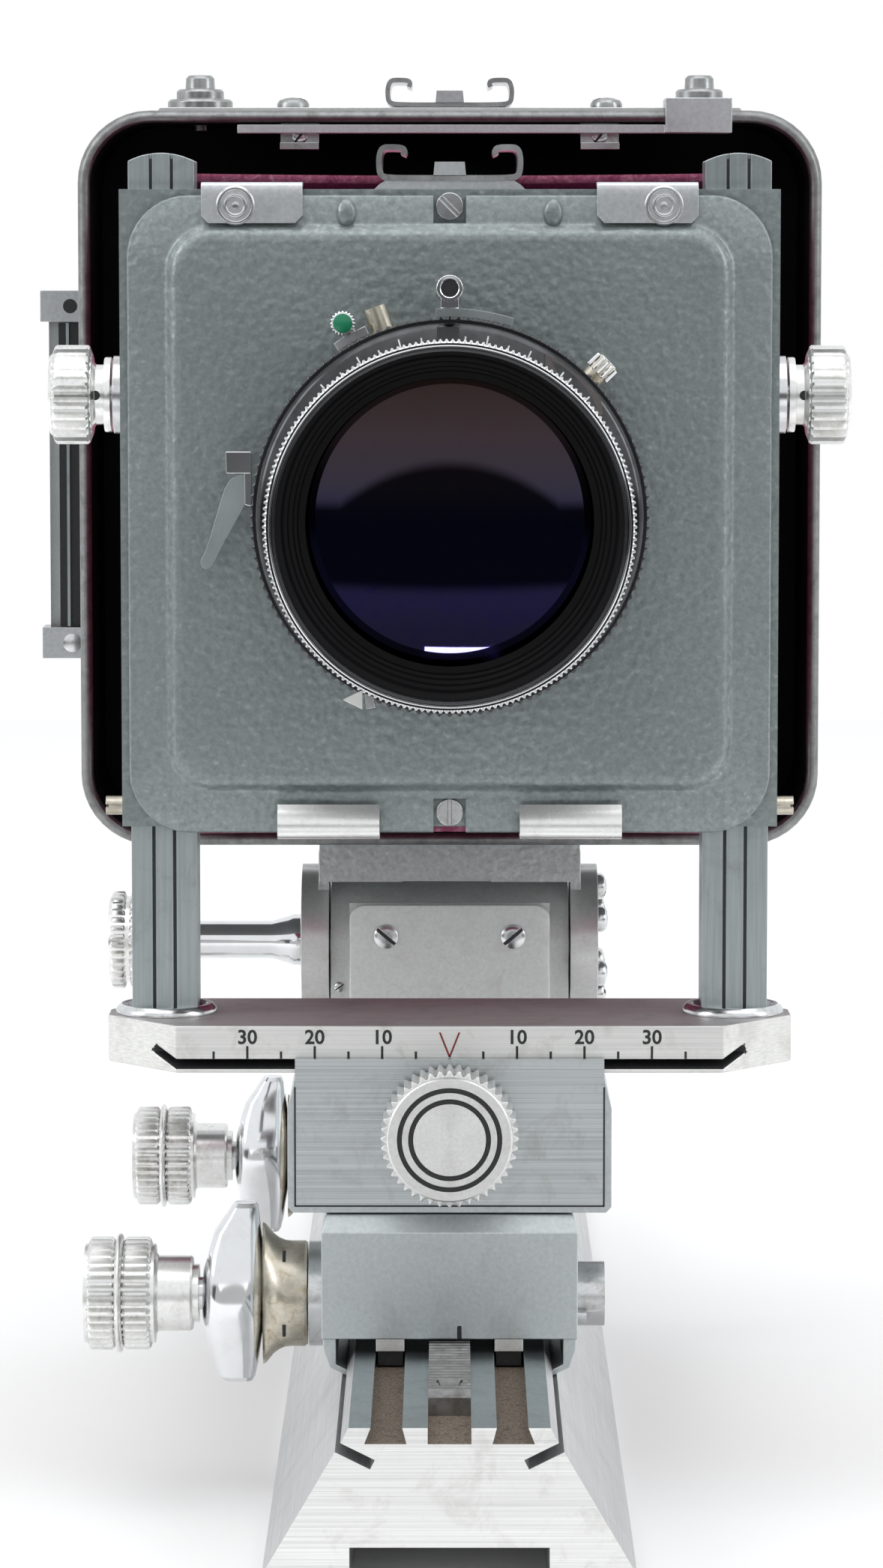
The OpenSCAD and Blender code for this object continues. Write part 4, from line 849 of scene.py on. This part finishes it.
marks = [(WHITE, on_cone(90 + a, 25.0, 1.2 if k % 2 else 1.7, 0.22)) for k, a in enumerate(range(-26, 51, 7))]
marks.append((INK_AND_SHADE, on_cone(90.5, 25.3, 2.2, 3.2, 0.1)))
piece("speed_marks", marks, "speed_ring")
window = [(25.0, 36), (26.6, 34), (27.6, 38), (27.6, 46), (27.6, 54), (27.3, 60), (25.2, 57), (25.0, 50),
    (25.0, 43)]
plate = [(r * cos(radians(a)), t1 - 2.0 - (27.2 - r) * SLOPE, LENS_Z + r * sin(radians(a))) for r, a in window]
piece("scale_window", [(PLATE, loft([plate, [(x, y + 0.3, z) for x, y, z in plate]])),
    *[(WHITE, on_cone(a, 25.7, 0.9, 0.25, 0.14)) for a in (52, 49, 41)]], "speed_ring")

d0, _, e0, e1 = span("front_lens_cell")[2:]
hood = (e1 - e0) / 2
baffle = []
for k in range(9):
    y = d0 + 0.2 + 0.42 * k
    baffle += [(24.25 - 0.03 * k, y), (24.0 - 0.03 * k, y + 0.21)]
steps = [(23.6, d0 + 4.3), (23.4, d0 + 5.3), (22.9, d0 + 5.5), (22.7, d0 + 6.9), (22.2, d0 + 7.1), (22.0, d0 + 8.5),
    (21.6, d0 + 8.7), (21.4, d0 + 9.9), (20.45, d0 + 10.1)]
piece("front_cell_turned", [(BLACK, lathe([(16.0, HOUSE_Y), (20.0, HOUSE_Y), (20.0, HOUSE_Y - 5.6),
    (20.4, HOUSE_Y - 6.3), (24.6, HOUSE_Y - 14.0), (hood, HOUSE_Y - 15.0), (hood, d0 + 2.2), (24.9, d0 + 1.9),
    (24.9, d0 + 1.4), (hood, d0 + 1.1), (hood, d0), (24.4, d0)], "y", lens, 110, caps=False)),
    (MATT, lathe([(24.4, d0)] + baffle + steps + [(20.45, HOUSE_Y - 10.0), (16.0, HOUSE_Y - 9.5), (16.0, HOUSE_Y)],
        "y", lens, 110, caps=False))], "front_standard", ["front_lens_cell"], angle=30)

h0, h1 = span("front_lens_glass")[2:4]
GLASS_R, CURVE = 20.4, 106.0  # radius of the front element and of its front surface


def dome(r, curve, vertex, back, n=96, steps=14):
    rim = [(r * k / steps, vertex + curve - sqrt(curve ** 2 - (r * k / steps) ** 2)) for k in range(steps + 1)]
    return lathe(rim + [(r, back), (0.0, back)], "y", lens, n)


element = piece("front_element", [(GLASS, dome(GLASS_R, CURVE, h0, h1))], "front_standard", ["front_lens_glass"],
    angle=30)

q0, q1, v0, v1 = span("filter_ring")[2:]
R = (v1 - v0) / 2
piece("filter_ring_knurled", [
    (STEEL, fluted("y", lens, q0 + 0.2, q1 - 0.1, 190, R - 0.36, R, 0.3, 0.3, 6, caps=False)),
    (CHROME, lathe([(24.85, q0 + 0.7), (24.98, q0 + 0.15), (25.12, q0), (25.3, q0 + 0.05), (25.42, q0 + 0.3),
        (25.5, q0 + 0.9), (25.5, q1), (24.85, q1)], "y", lens, 140, True)),
    (BLACK, lathe(
        [(24.86, q0 + 0.5), (24.7, q0 + 0.35), (24.4, q0 + 0.4), (24.25, q0 + 0.6), (24.25, q1), (24.86, q1)], "y",
        lens, 140, True))], "front_standard", ["filter_ring"], angle=30)
refined("rear_lens_cell", BLACK, 0.2)
refined("rear_lens_glass", GLASS, 0.2)
frame["nodes"]["iris_blades"].data.materials.clear()
frame["nodes"]["iris_blades"].data.materials.append(MATT)

m0, m1 = span("aperture_lever")[2:4]


def sector(r0, r1, a0, a1, n=16):
    """Outline of a piece of a ring about the lens axis, between two angles."""
    turns = [radians(a0 + (a1 - a0) * k / n) for k in range(n + 1)]
    return ([(r1 * cos(a), LENS_Z + r1 * sin(a)) for a in turns]
        + [(r0 * cos(a), LENS_Z + r0 * sin(a)) for a in reversed(turns)])


piece("aperture_lever_bent", [(BLACK, prism(sector(26.4, 27.5, -124, -98), "y", m0 + 0.4, m1)),
    (BLACK, prism(sector(27.2, 28.3, -106, -100), "y", m0 + 0.9, m1 - 0.3))], "aperture_lever", ["aperture_lever"],
    0.12, 1)
tip = [(-3.1, 0.1), (0.1, 1.6), (0.1, -1.4)]
piece("aperture_pointer", [
    (WHITE, prism([(-12.6 + a * 0.9, 125.0 + b * 0.95) for a, b in tip], "y", -119.6, -118.9)),
    (STEEL, prism([(-12.3, 126.2), (-11.0, 125.6), (-10.6, 123.9), (-12.0, 123.7)], "y", -119.4, -117.4))],
    "aperture_lever", (), 0.12, 1)
refined("cocking_lever", CHROME, 0.15, 2, lambda c, n: 0 if c.z > 181.2 else 1, (ARM,))
k0 = span("cocking_lever")[2]
post = (0.0, 184.0)
piece("cocking_post_rim", [
    (CHROME, fluted("y", post, k0 - 0.05, k0 + 1.6, 22, 1.6, 1.95, 0.15, 0.5, 6, caps=False)),
    (CHROME,
        lathe([(1.3, 0.5), (1.3, -0.05), (1.4, -0.12), (1.7, -0.1), (1.75, 0.5)], "y", post, 32, True, start=k0)),
    (INK_AND_SHADE, lathe([(1.35, 0.3), (1.3, 0.12), (0.0, 0.12)], "y", post, 32, start=k0))], "cocking_lever")
refined("sync_lever", STEEL, 0.12)
n0 = span("sync_lever")[2]
tip = (31.9 * cos(radians(119)), LENS_Z + 31.9 * sin(radians(119)))
piece("sync_cap", [(CHROME, fluted("y", tip, n0 - 0.2, n0 + 2.0, 20, 1.55, 1.85, 0.15, 0.5, 6)),
    (GREEN, lathe([(1.45, 0.2), (1.4, -0.35), (1.1, -0.5), (0.0, -0.58)], "y", tip, 32, start=n0))], "sync_lever",
    (), 0, angle=45)

b0, b1 = span("release_lever")[2:4]
arm = smooth_path([(-29.6, 157.2), (-32.3, 156.3), (-33.6, 152.6), (-35.6, 145.6), (-36.6, 144.2), (-36.0, 142.9),
    (-34.7, 143.2), (-33.4, 146.0), (-30.4, 151.4), (-29.3, 153.4)], 2)
piece("release_arm", [(ARM, prism(arm, "y", b0 + 0.2, b0 + 1.5)),
    (CHROME, prism([(-29.0, 157.0), (-32.6, 157.0), (-32.7, 160.2), (-29.0, 160.2)], "y", b0, b0 + 0.9)),
    (CHROME, prism([(-28.9, 152.2), (-29.9, 152.4), (-30.0, 160.0), (-28.9, 160.0)], "y", b0 + 0.1, b1 - 0.1))],
    "release_lever", ["release_lever"], 0.12, 2)


def on_rim(shape, degrees):
    """A shape turned from the right-hand side of the shutter to its place round the rim."""
    return spun(shape, degrees, 0, LENS_Z)


RIM_AT = (HOUSE_Y + 8.2, LENS_Z)
nib = on_rim(lathe([(0.0, 27.0), (1.55, 27.0), (1.55, 29.6), (1.2, 29.9), (1.2, 30.8), (1.7, 31.1), (1.7, 32.2),
    (1.0, 32.4), (0.9, 31.0), (0.0, 31.0)], "x", RIM_AT, 28), 44)
star = on_rim(fluted("x", RIM_AT, 29.6, 32.1, 12, 1.5, 2.05, 0.2, 0.5, 6), 44)
socket = on_rim(lathe([(0.0, 27.0), (1.35, 27.0), (1.35, 30.0), (1.65, 30.3), (1.65, 32.0), (1.45, 32.1),
    (1.0, 32.1), (0.9, 31.0), (0.0, 31.0)], "x", RIM_AT, 28), 110)
piece("housing_sockets", [(CHROME, nib), (CHROME, star), (BRASS, socket)], "front_standard", (), 0.05, 1)

# ------------------------------------------------------------ bellows

BX, BZ = 47.5, 50.0  # half width and half height at the crests
b_front, b_back = span("bellows")[2:4]
# each stretch crosses one joint: the two bodies, its length at rest and how many pleats it holds
LINKS = [("front_standard", "front_bar", 7.0, 1), ("front_bar", "front_swivel", 7.0, 1),
    ("front_swivel", "front_carriage", 15.0, 2), ("front_carriage", "rail", 19.0, 4),
    ("rail", "rear_carriage", 16.0, 5), ("rear_carriage", "rear_swivel", 15.0, 2),
    ("rear_swivel", "rear_standard", None, 5)]


def pleat(t):
    """Depth below the crest along the fold, sharp crests and soft valleys, t counted in pleats."""
    f = abs((t % 1.0) - 0.5) * 2
    return 3.2 * (1 - f) ** 0.9 if f < 1 else 0.0


def skin_ring(y, depth, fold, thick):
    """Cross section with creased corners: the corner cut swings in and out from pleat to pleat."""
    lower = 2.0 * max(0.0, min(1.0, (y - b_front - 46.0) / 18.0))
    w, h = BX - depth - thick, BZ - depth - thick - lower
    c = 3.0 + 3.6 * fold
    corner = [(w, h - c), (w - 0.25 * c, h - 0.3 * c), (w - c, h)]
    out = []
    for q, (sx, sz) in enumerate(QUADRANTS):
        pts = corner if sx * sz > 0 else corner[::-1]
        out += [(sx * a, y, LENS_Z + sz * b) for a, b in pts]
        nx, nz = QUADRANTS[(q + 1) % 4]
        across = sx != nx
        for k in range(1, 12):
            t = k / 12
            if across:
                a = sx * (w - c) + (nx * (w - c) - sx * (w - c)) * t
                out.append((a, y, LENS_Z + sz * h - sz * 0.35 * sin(pi * t)))
            else:
                b = sz * (h - c) + (nz * (h - c) - sz * (h - c)) * t
                out.append((sx * w - sx * 0.35 * sin(pi * t), y, LENS_Z + b))
    return out


PER = 12  # sections to a pleat
start = b_front
for number, (body_a, body_b, length, pleats) in enumerate(LINKS):
    end = start + length if length else b_back
    outer, inner = [], []
    for k in range(pleats * PER + 1):
        y, t = start + (end - start) * k / (pleats * PER), k / PER
        fold = 0.5 + 0.5 * cos(TAU * t)
        outer.append(skin_ring(y, pleat(t), fold, 0.0))
        inner.append(skin_ring(y, pleat(t), fold, 0.55))
    obj = piece(f"bellows_{number + 1}", [(LEATHER, loft(outer + inner[::-1], loop=True))], None, ["bellows"],
        angle=60)

    def crest(c, n):
        t = (c.y - start) / (end - start) * pleats % 1.0
        return 1 if min(t, 1 - t) < 0.09 else 0
    paint(obj.data, (CREST,), crest)
    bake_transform(obj)
    start = end

# ------------------------------------------------------------ rear standard

refined("tilt_box", CAST, 0.5, 3)
y0 = span("tilt_box")[2]
REAR_Y = 40.0  # the rear swivel axis
panel = [[(a, y, 64.5 + b) for a, b in rounded(34.4 - g, 27.0 - g, 2.6)]
    for y, g in ((y0 + 1.2, 0.0), (y0 + 0.9, 0.0), (y0 + 0.62, 0.35), (y0 + 0.55, 1.0))]
shapes = [(CAST, loft(panel))]
for sx in (-1, 1):
    shapes += screw("y", (sx * 10.9, 72.5), y0 + 0.6, -1, 2.1, 0.62, 40 * sx)
shapes += screw("y", (-19.0, 63.2), REAR_Y - 11.3, -1, 0.9, 0.4, 35)
piece("tilt_box_cover", shapes, "rear_swivel", (), 0.05, 1)

x0, x1, y0, y1, z0, z1 = span("tilt_lock_knob")
at, r = ((y0 + y1) / 2, (z0 + z1) / 2), (z1 - z0) / 2
piece("tilt_lock_knob_turned", [(KNOB, fluted("x", at, x0 + 0.2, x0 + 3.0, 32, r - 0.95, r, 0.55, 0.32)),
    (KNOB, fluted("x", at, x0 + 3.5, x0 + 6.9, 32, r - 0.95, r, 0.55, 0.32)),
    (KNOB, lathe(
        [(0.0, 0.3), (5.6, 0.3), (6.2, 0), (r - 1.2, 0), (r - 0.9, 0.4), (r - 0.9, 6.8), (6.4, 7.2), (0.0, 7.2)],
        "x", at, 64, start=x0)),
    (CHROME, lathe([(3.3, x0 + 7.1), (3.3, -31.0), (4.2, -28.0), (4.5, -27.2), (4.5, -25.95), (3.3, -25.95),
        (3.3, x1), (0.0, x1)], "x", at, 48))], "tilt_lock", ["tilt_lock_knob"], 0.1, 1)

refined("tilt_yoke", YOKE, 0.5, 3, lambda c, n: 0 if c.z > 83 else 1, (PALE,))

# shell: a deep open box with a rolled front rim
x0, x1, y0, y1, z0, z1 = span("rear_shell")
z1 -= 0.8
w, h, zc = x1 - x0, z1 - z0, (z0 + z1) / 2
rows = [(0.0, y1, 12.0, SHELL), (0.0, y0 + 6.0, 12.0, SHELL), (0.0, y0 + 1.2, 12.0, SHELL),
    (0.25, y0 + 0.5, 11.9, RIM), (0.65, y0 + 0.12, 11.6, RIM), (1.0, y0, 11.3, RIM), (1.5, y0 + 0.12, 11.0, RIM),
    (1.85, y0 + 0.55, 10.6, RIM), (2.0, y0 + 1.3, 10.4, MATT), (2.0, y1 - 2.0, 10.4, MATT)]
rings = [[(a, y, zc + b) for a, b in rounded(w - 2 * g, h - 2 * g, r, 10)] for g, y, r, m in rows]
n = len(rings[0])
hole = [
    (max(-46.0, min(46.0, a)), y1 - 2.0, LENS_Z + max(-46.0, min(46.0, b))) for a, b in rounded(94, 94, 0.6, 10)]
rings.append(hole)
rings.append([(a, y1, b) for a, y, b in hole])
verts, faces = loft(rings, loop=True)
shell = piece("rear_shell_rolled", [(SHELL, (verts, faces))], "rear_standard", ["rear_shell"], angle=40)


def shell_zone(c, n):
    if y0 + 0.3 > c.y or (c.y < y0 + 1.25 and abs(c.x) < x1 - 0.02 and abs(c.z - zc) < h / 2 - 0.02):
        return 1
    return 2 if abs(c.x) < x1 - 1.9 and abs(c.z - zc) < h / 2 - 1.9 and c.y < y1 - 0.1 else 0


paint(shell.data, (RIM, MATT), shell_zone)
piece("shell_top_strip", [(PALE, prism(
    [(-49, z1 - 0.3), (49, z1 - 0.3), (49, z1 + 0.55), (48.6, z1 + 0.8), (-48.6, z1 + 0.8), (-49, z1 + 0.55)], "y",
    19, 38))], "rear_standard", (), 0.12, 2)

TOPZ = z1 + 0.8
shapes = []
for sx in (-1, 1):
    # top screw heads in the darker steel: painted shade
    shapes += screw("z", (sx * 26.5, 26.0), TOPZ, 1, 2.7, 1.7, 25 * sx, SHADED_STEEL)
    shapes.append((STEEL, block(sx * 25 - 3.2, sx * 25 + 3.2, 12.3, 13.5, 206.4, z1 - 1.9)))
    shapes.append((STEEL, block(sx * 25 - 3.2, sx * 25 + 3.2, 9.0, 13.5, 206.4, 207.5)))
    shapes += screw("y", (sx * 25, 208.6), 12.3, -1, 1.3, 0.6, 50)
for k in range(6):
    a = radians(30 + 60 * k)
    shapes += screw("x", (REAR_Y + 9.4 * cos(a), 70 + 9.4 * sin(a)), 25.6, 1, 2.3, 1.6, 20 + 35 * k)
piece("rear_screw_heads", shapes, "rear_standard", ["rear_screws"], 0.08, 2)

for side in ("left", "right"):
    x0, x1, y0, y1, z0, z1 = span(f"back_lock_{side}")
    at, top = ((x0 + x1) / 2, (y0 + y1) / 2), z1
    b = TOPZ + 0.05
    # the back locks in the darker steel: painted shade
    piece(f"back_lock_{side}_turned", [(SHADED_STEEL, lathe([(0.0, z0), (1.5, z0), (1.5, b), (5.5, b), (5.5, b + 1.1),
        (5.1, b + 1.5), (4.0, b + 1.6), (4.0, b + 2.8), (3.6, b + 3.2), (2.5, b + 3.3), (2.4, top - 0.6),
        (1.9, top - 0.1), (0.0, top)], "z", at, 48))], f"back_lock_{side}", [f"back_lock_{side}"], 0.08, 2)
refined("rim_slide", SATIN, 0.15)
x0, x1, y0, y1, z0, z1 = span("back_frame")
mid_z = (z0 + z1) / 2
rows = [(119.0, 118.0, 10.0, y0, mid_z), (119.0, 118.0, 10.0, y0 + 1.6, mid_z),
    (118.7, 117.7, 9.9, y0 + 2.0, mid_z), (118.1, 117.1, 9.6, y0 + 2.2, mid_z),
    (118.0, 86.0, 4.0, y0 + 2.2, LENS_Z - 0.2), (118.0, 86.0, 4.0, y1 - 0.7, LENS_Z - 0.2),
    (117.6, 85.6, 3.8, y1 - 0.25, LENS_Z - 0.2), (116.8, 84.8, 3.4, y1, LENS_Z - 0.2),
    (94.6, 60.6, 1.0, y1, LENS_Z), (94.0, 60.0, 0.8, y1 - 0.3, LENS_Z), (94.0, 60.0, 0.8, y0 + 8.0, LENS_Z),
    (90.0, 58.0, 0.8, y0 + 8.0, LENS_Z), (90.0, 58.0, 0.8, y0, LENS_Z)]
back = piece("back_frame_cast", [(SHELL, loft(stack(rows), loop=True))], "rear_standard", ["back_frame"], angle=40)
u0, u1, v0, v1, w0, w1 = span("glass_holder")
cut(back, block(-60.5, u1 + 0.3, v0 - 0.3, v1 + 0.3, w0 - 0.3, w1 + 0.3), angle=40)


def corner_screws(x, z, up, y, r, h):
    """Four screws facing back, x and z from a centre at height up."""
    return [part for sx in (-1, 1) for sz in (-1, 1)
        for part in screw("y", (sx * x, up + sz * z), y, 1, r, h, 30 * sx + 20)]


piece("back_frame_screws", corner_screws(53.0, 37.0, LENS_Z - 0.2, y1 - 0.1, 2.0, 0.35), "rear_standard", (), 0.05,
    1)

x0, x1, y0, y1, z0, z1 = span("glass_holder")
refined("glass_holder", SATIN, 0.3, 2, lambda c, n: 1 if abs(c.x) < 44 and 122 < c.z < 180 and abs(n.y) > 0.9
    else (2 if c.x < -60 and 124 < c.z < 177.3 else 0), (FROST, BLACK))
shapes = corner_screws(48.2, 24, LENS_Z, y1 - 1.05, 1.2, 0.5) + [
    # a black disc for the hole in the top corner: painted shade
    (INK_AND_SHADE, lathe([(1.25, -0.02), (1.25, 0.4), (0.0, 0.4), (0.0, -0.02)], "y", (x0 + 5.2, z1 - 2.7), 24, start=y0)),
    (STEEL, lathe([(1.7, 0.2), (1.6, -0.25), (0.9, -0.5), (0.0, -0.55)], "y", (x0 + 5.2, z0 + 2.7), 24, start=y0))]
for mat, a, b, c, d in ((INK_AND_SHADE, 3.1, 8.6, 0.7, 1.4), (POST, 4.4, 4.9, 0.4, 0.8), (POST, 7.2, 7.7, 0.4, 0.8)):
    shapes.append((mat, block(x0 + a, x0 + b, y0 + c, y0 + d, z0 + 5.6, z1 - 5.6)))
piece("holder_details", shapes, "glass_holder")

# any CAD node still shown gets a finish of its own
for name, node in frame["nodes"].items():
    if not node.hide_render and name != "iris_blades":
        node.data.materials.clear()
        node.data.materials.append(STEEL)


# ------------------------------------------------------------ studio

def paper(name, near, far):
    """A strip of the white floor between two distances."""
    wide = 2.6
    mesh = bpy.data.meshes.new(name)
    mesh.from_pydata([(-wide, near, 0), (wide, near, 0), (wide, far, 0), (-wide, far, 0)], [], [(0, 1, 2, 3)])
    white = (0.96, 0.96, 0.955)
    s = Shader(name, Roughness=0.9)
    grain = s.noise(6, 3.0)
    mesh.materials.append(s.done(Base_Color=s.ramp(grain, (0.3, tuple(0.985 * c for c in white)), (0.7, white))))
    obj = placed(name, mesh)
    obj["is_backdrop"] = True
    return obj


paper("floor", -0.22, 1.3)
paper("floor_near", -0.6, -0.22).visible_glossy = False
apron = paper("floor_apron", -2.2, -0.6)
apron.visible_diffuse = apron.visible_glossy = False


def lamp(name, place, aim, size, power, colour=(1, 1, 1)):
    light = bpy.data.lights.new(name, "AREA")
    light.shape, light.size, light.size_y = "RECTANGLE", size[0], size[1]
    light.energy, light.color = power, colour
    obj = placed(name, light)
    obj.location = place
    obj.rotation_mode = "QUATERNION"
    obj.rotation_quaternion = (Vector(aim) - Vector(place)).to_track_quat("-Z", "Y")
    obj.visible_camera = False
    return obj


lamp("top_soft", (0.0, -0.3, 1.25), (0, -0.02, 0.1), (1.5, 1.1), 5.5)
low = lamp("low_soft", (0.0, -0.5, 0.012), (0, -0.08, 0.13), (0.8, 0.16), 0.17)
lamp("left_soft", (-1.2, -0.5, 0.75), (0, -0.05, 0.12), (0.5, 0.9), 4.0)
lamp("right_soft", (1.2, -0.5, 0.7), (0, -0.05, 0.12), (0.4, 0.9), 3.0)

# a small bright strip that only the front element sees
EYE = Vector((0.0, -0.88145, 0.18765))
GLINT_DROP = 18.3  # the strip's reflection sits this far below the lens axis
spot = Vector((0.0015, 0.0, (LENS_Z - GLINT_DROP) * MM))
spot.y = (h0 + CURVE - sqrt(CURVE ** 2 - GLINT_DROP ** 2)) * MM
normal = (spot - Vector((0, (h0 + CURVE) * MM, LENS_Z * MM))).normalized()
seen_from = (spot - EYE).normalized()
bounce = seen_from - 2 * seen_from.dot(normal) * normal
strip = lamp("lens_strip", spot + bounce * 0.12, spot, (0.034, 0.0042), 0.04)
only = bpy.data.collections.new("front_element_only")
only.objects.link(element)
strip.light_linking.receiver_collection = only
strip.light_linking.blocker_collection = only
all_but = bpy.data.collections.new("all_but_front_element")
all_but.objects.link(element)
all_but.collection_objects[0].light_linking.link_state = "EXCLUDE"
low.light_linking.receiver_collection = all_but

world = bpy.data.worlds.new("studio")
bpy.context.scene.world = world
world.use_nodes = True
world.node_tree.nodes.clear()
sky = Nodes(world.node_tree)


def wmap(value, a, b, low, high):
    result = sky.span(value, low, high, a, b)
    result.node.interpolation_type = "SMOOTHSTEP"
    return result


def wmath(kind, a, b):
    made = sky.node("ShaderNodeMath")
    made.operation = kind
    for socket, value in zip(made.inputs, (a, b)):
        sky.put(socket, value)
    return made.outputs[0]


# behind the object a white sweep; in front a dim room with a bright ceiling and floor
direction = sky.node("ShaderNodeTexCoord").outputs["Generated"]
parts = sky.node("ShaderNodeSeparateXYZ", Vector=direction)
depth = wmath("MAXIMUM", wmath("ABSOLUTE", parts.outputs[1], 0.0), 0.12)
rise = wmath("DIVIDE", parts.outputs[2], depth)
side = wmath("DIVIDE", parts.outputs[0], depth)
spread = wmath("MULTIPLY", side, side)
bow = wmath("MULTIPLY", wmath("MINIMUM", wmath("MULTIPLY", spread, 1.14), 0.12), wmap(spread, 0.15, 0.4, 1.0, 0.0))
ceiling = wmap(wmath("ADD", rise, bow), 0.1, 0.145, 0.0, 1.0)
ground_light = wmap(rise, -0.27, -0.22, 0.75, 0.0)
sweep = wmap(parts.outputs[1], 0.3, 0.6, 0.0, 1.0)
flanks = wmap(wmath("ABSOLUTE", parts.outputs[0], 0.0), 0.82, 0.96, 0.0, 0.75)
level = wmath("MAXIMUM", wmath("MAXIMUM", ceiling, sweep), wmath("MAXIMUM", ground_light, flanks))
level = wmath("ADD", wmath("MULTIPLY", level, 0.86), 0.1)
lit = sky.node("ShaderNodeBackground", Strength=level)
lit.inputs["Color"].default_value = (0.97, 0.985, 1.0, 1)
seen = sky.node("ShaderNodeBackground", Strength=1.0)
seen.inputs["Color"].default_value = (1.0, 1.0, 1.0, 1)
mixed = sky.node("ShaderNodeMixShader", Fac=sky.node("ShaderNodeLightPath").outputs["Is Camera Ray"])
sky.put(mixed.inputs[1], lit.outputs[0])
sky.put(mixed.inputs[2], seen.outputs[0])
sky.node("ShaderNodeOutputWorld", Surface=mixed.outputs[0])

LOOKS_DOWN, TURNED_LEFT = 5.6, 0.088  # degrees
lens_data = bpy.data.cameras.new("view")
lens_data.lens, lens_data.sensor_width = 122.1, 36.0
lens_data.clip_start, lens_data.clip_end = 0.01, 100
camera = placed("view", lens_data)
camera.location = EYE
camera.rotation_euler = (radians(90 - LOOKS_DOWN), 0, radians(TURNED_LEFT))
bpy.context.scene.camera = camera
view = bpy.context.scene.view_settings
view.view_transform, view.look = "Standard", "None"

bpy.context.view_layer.update()
low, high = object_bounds()
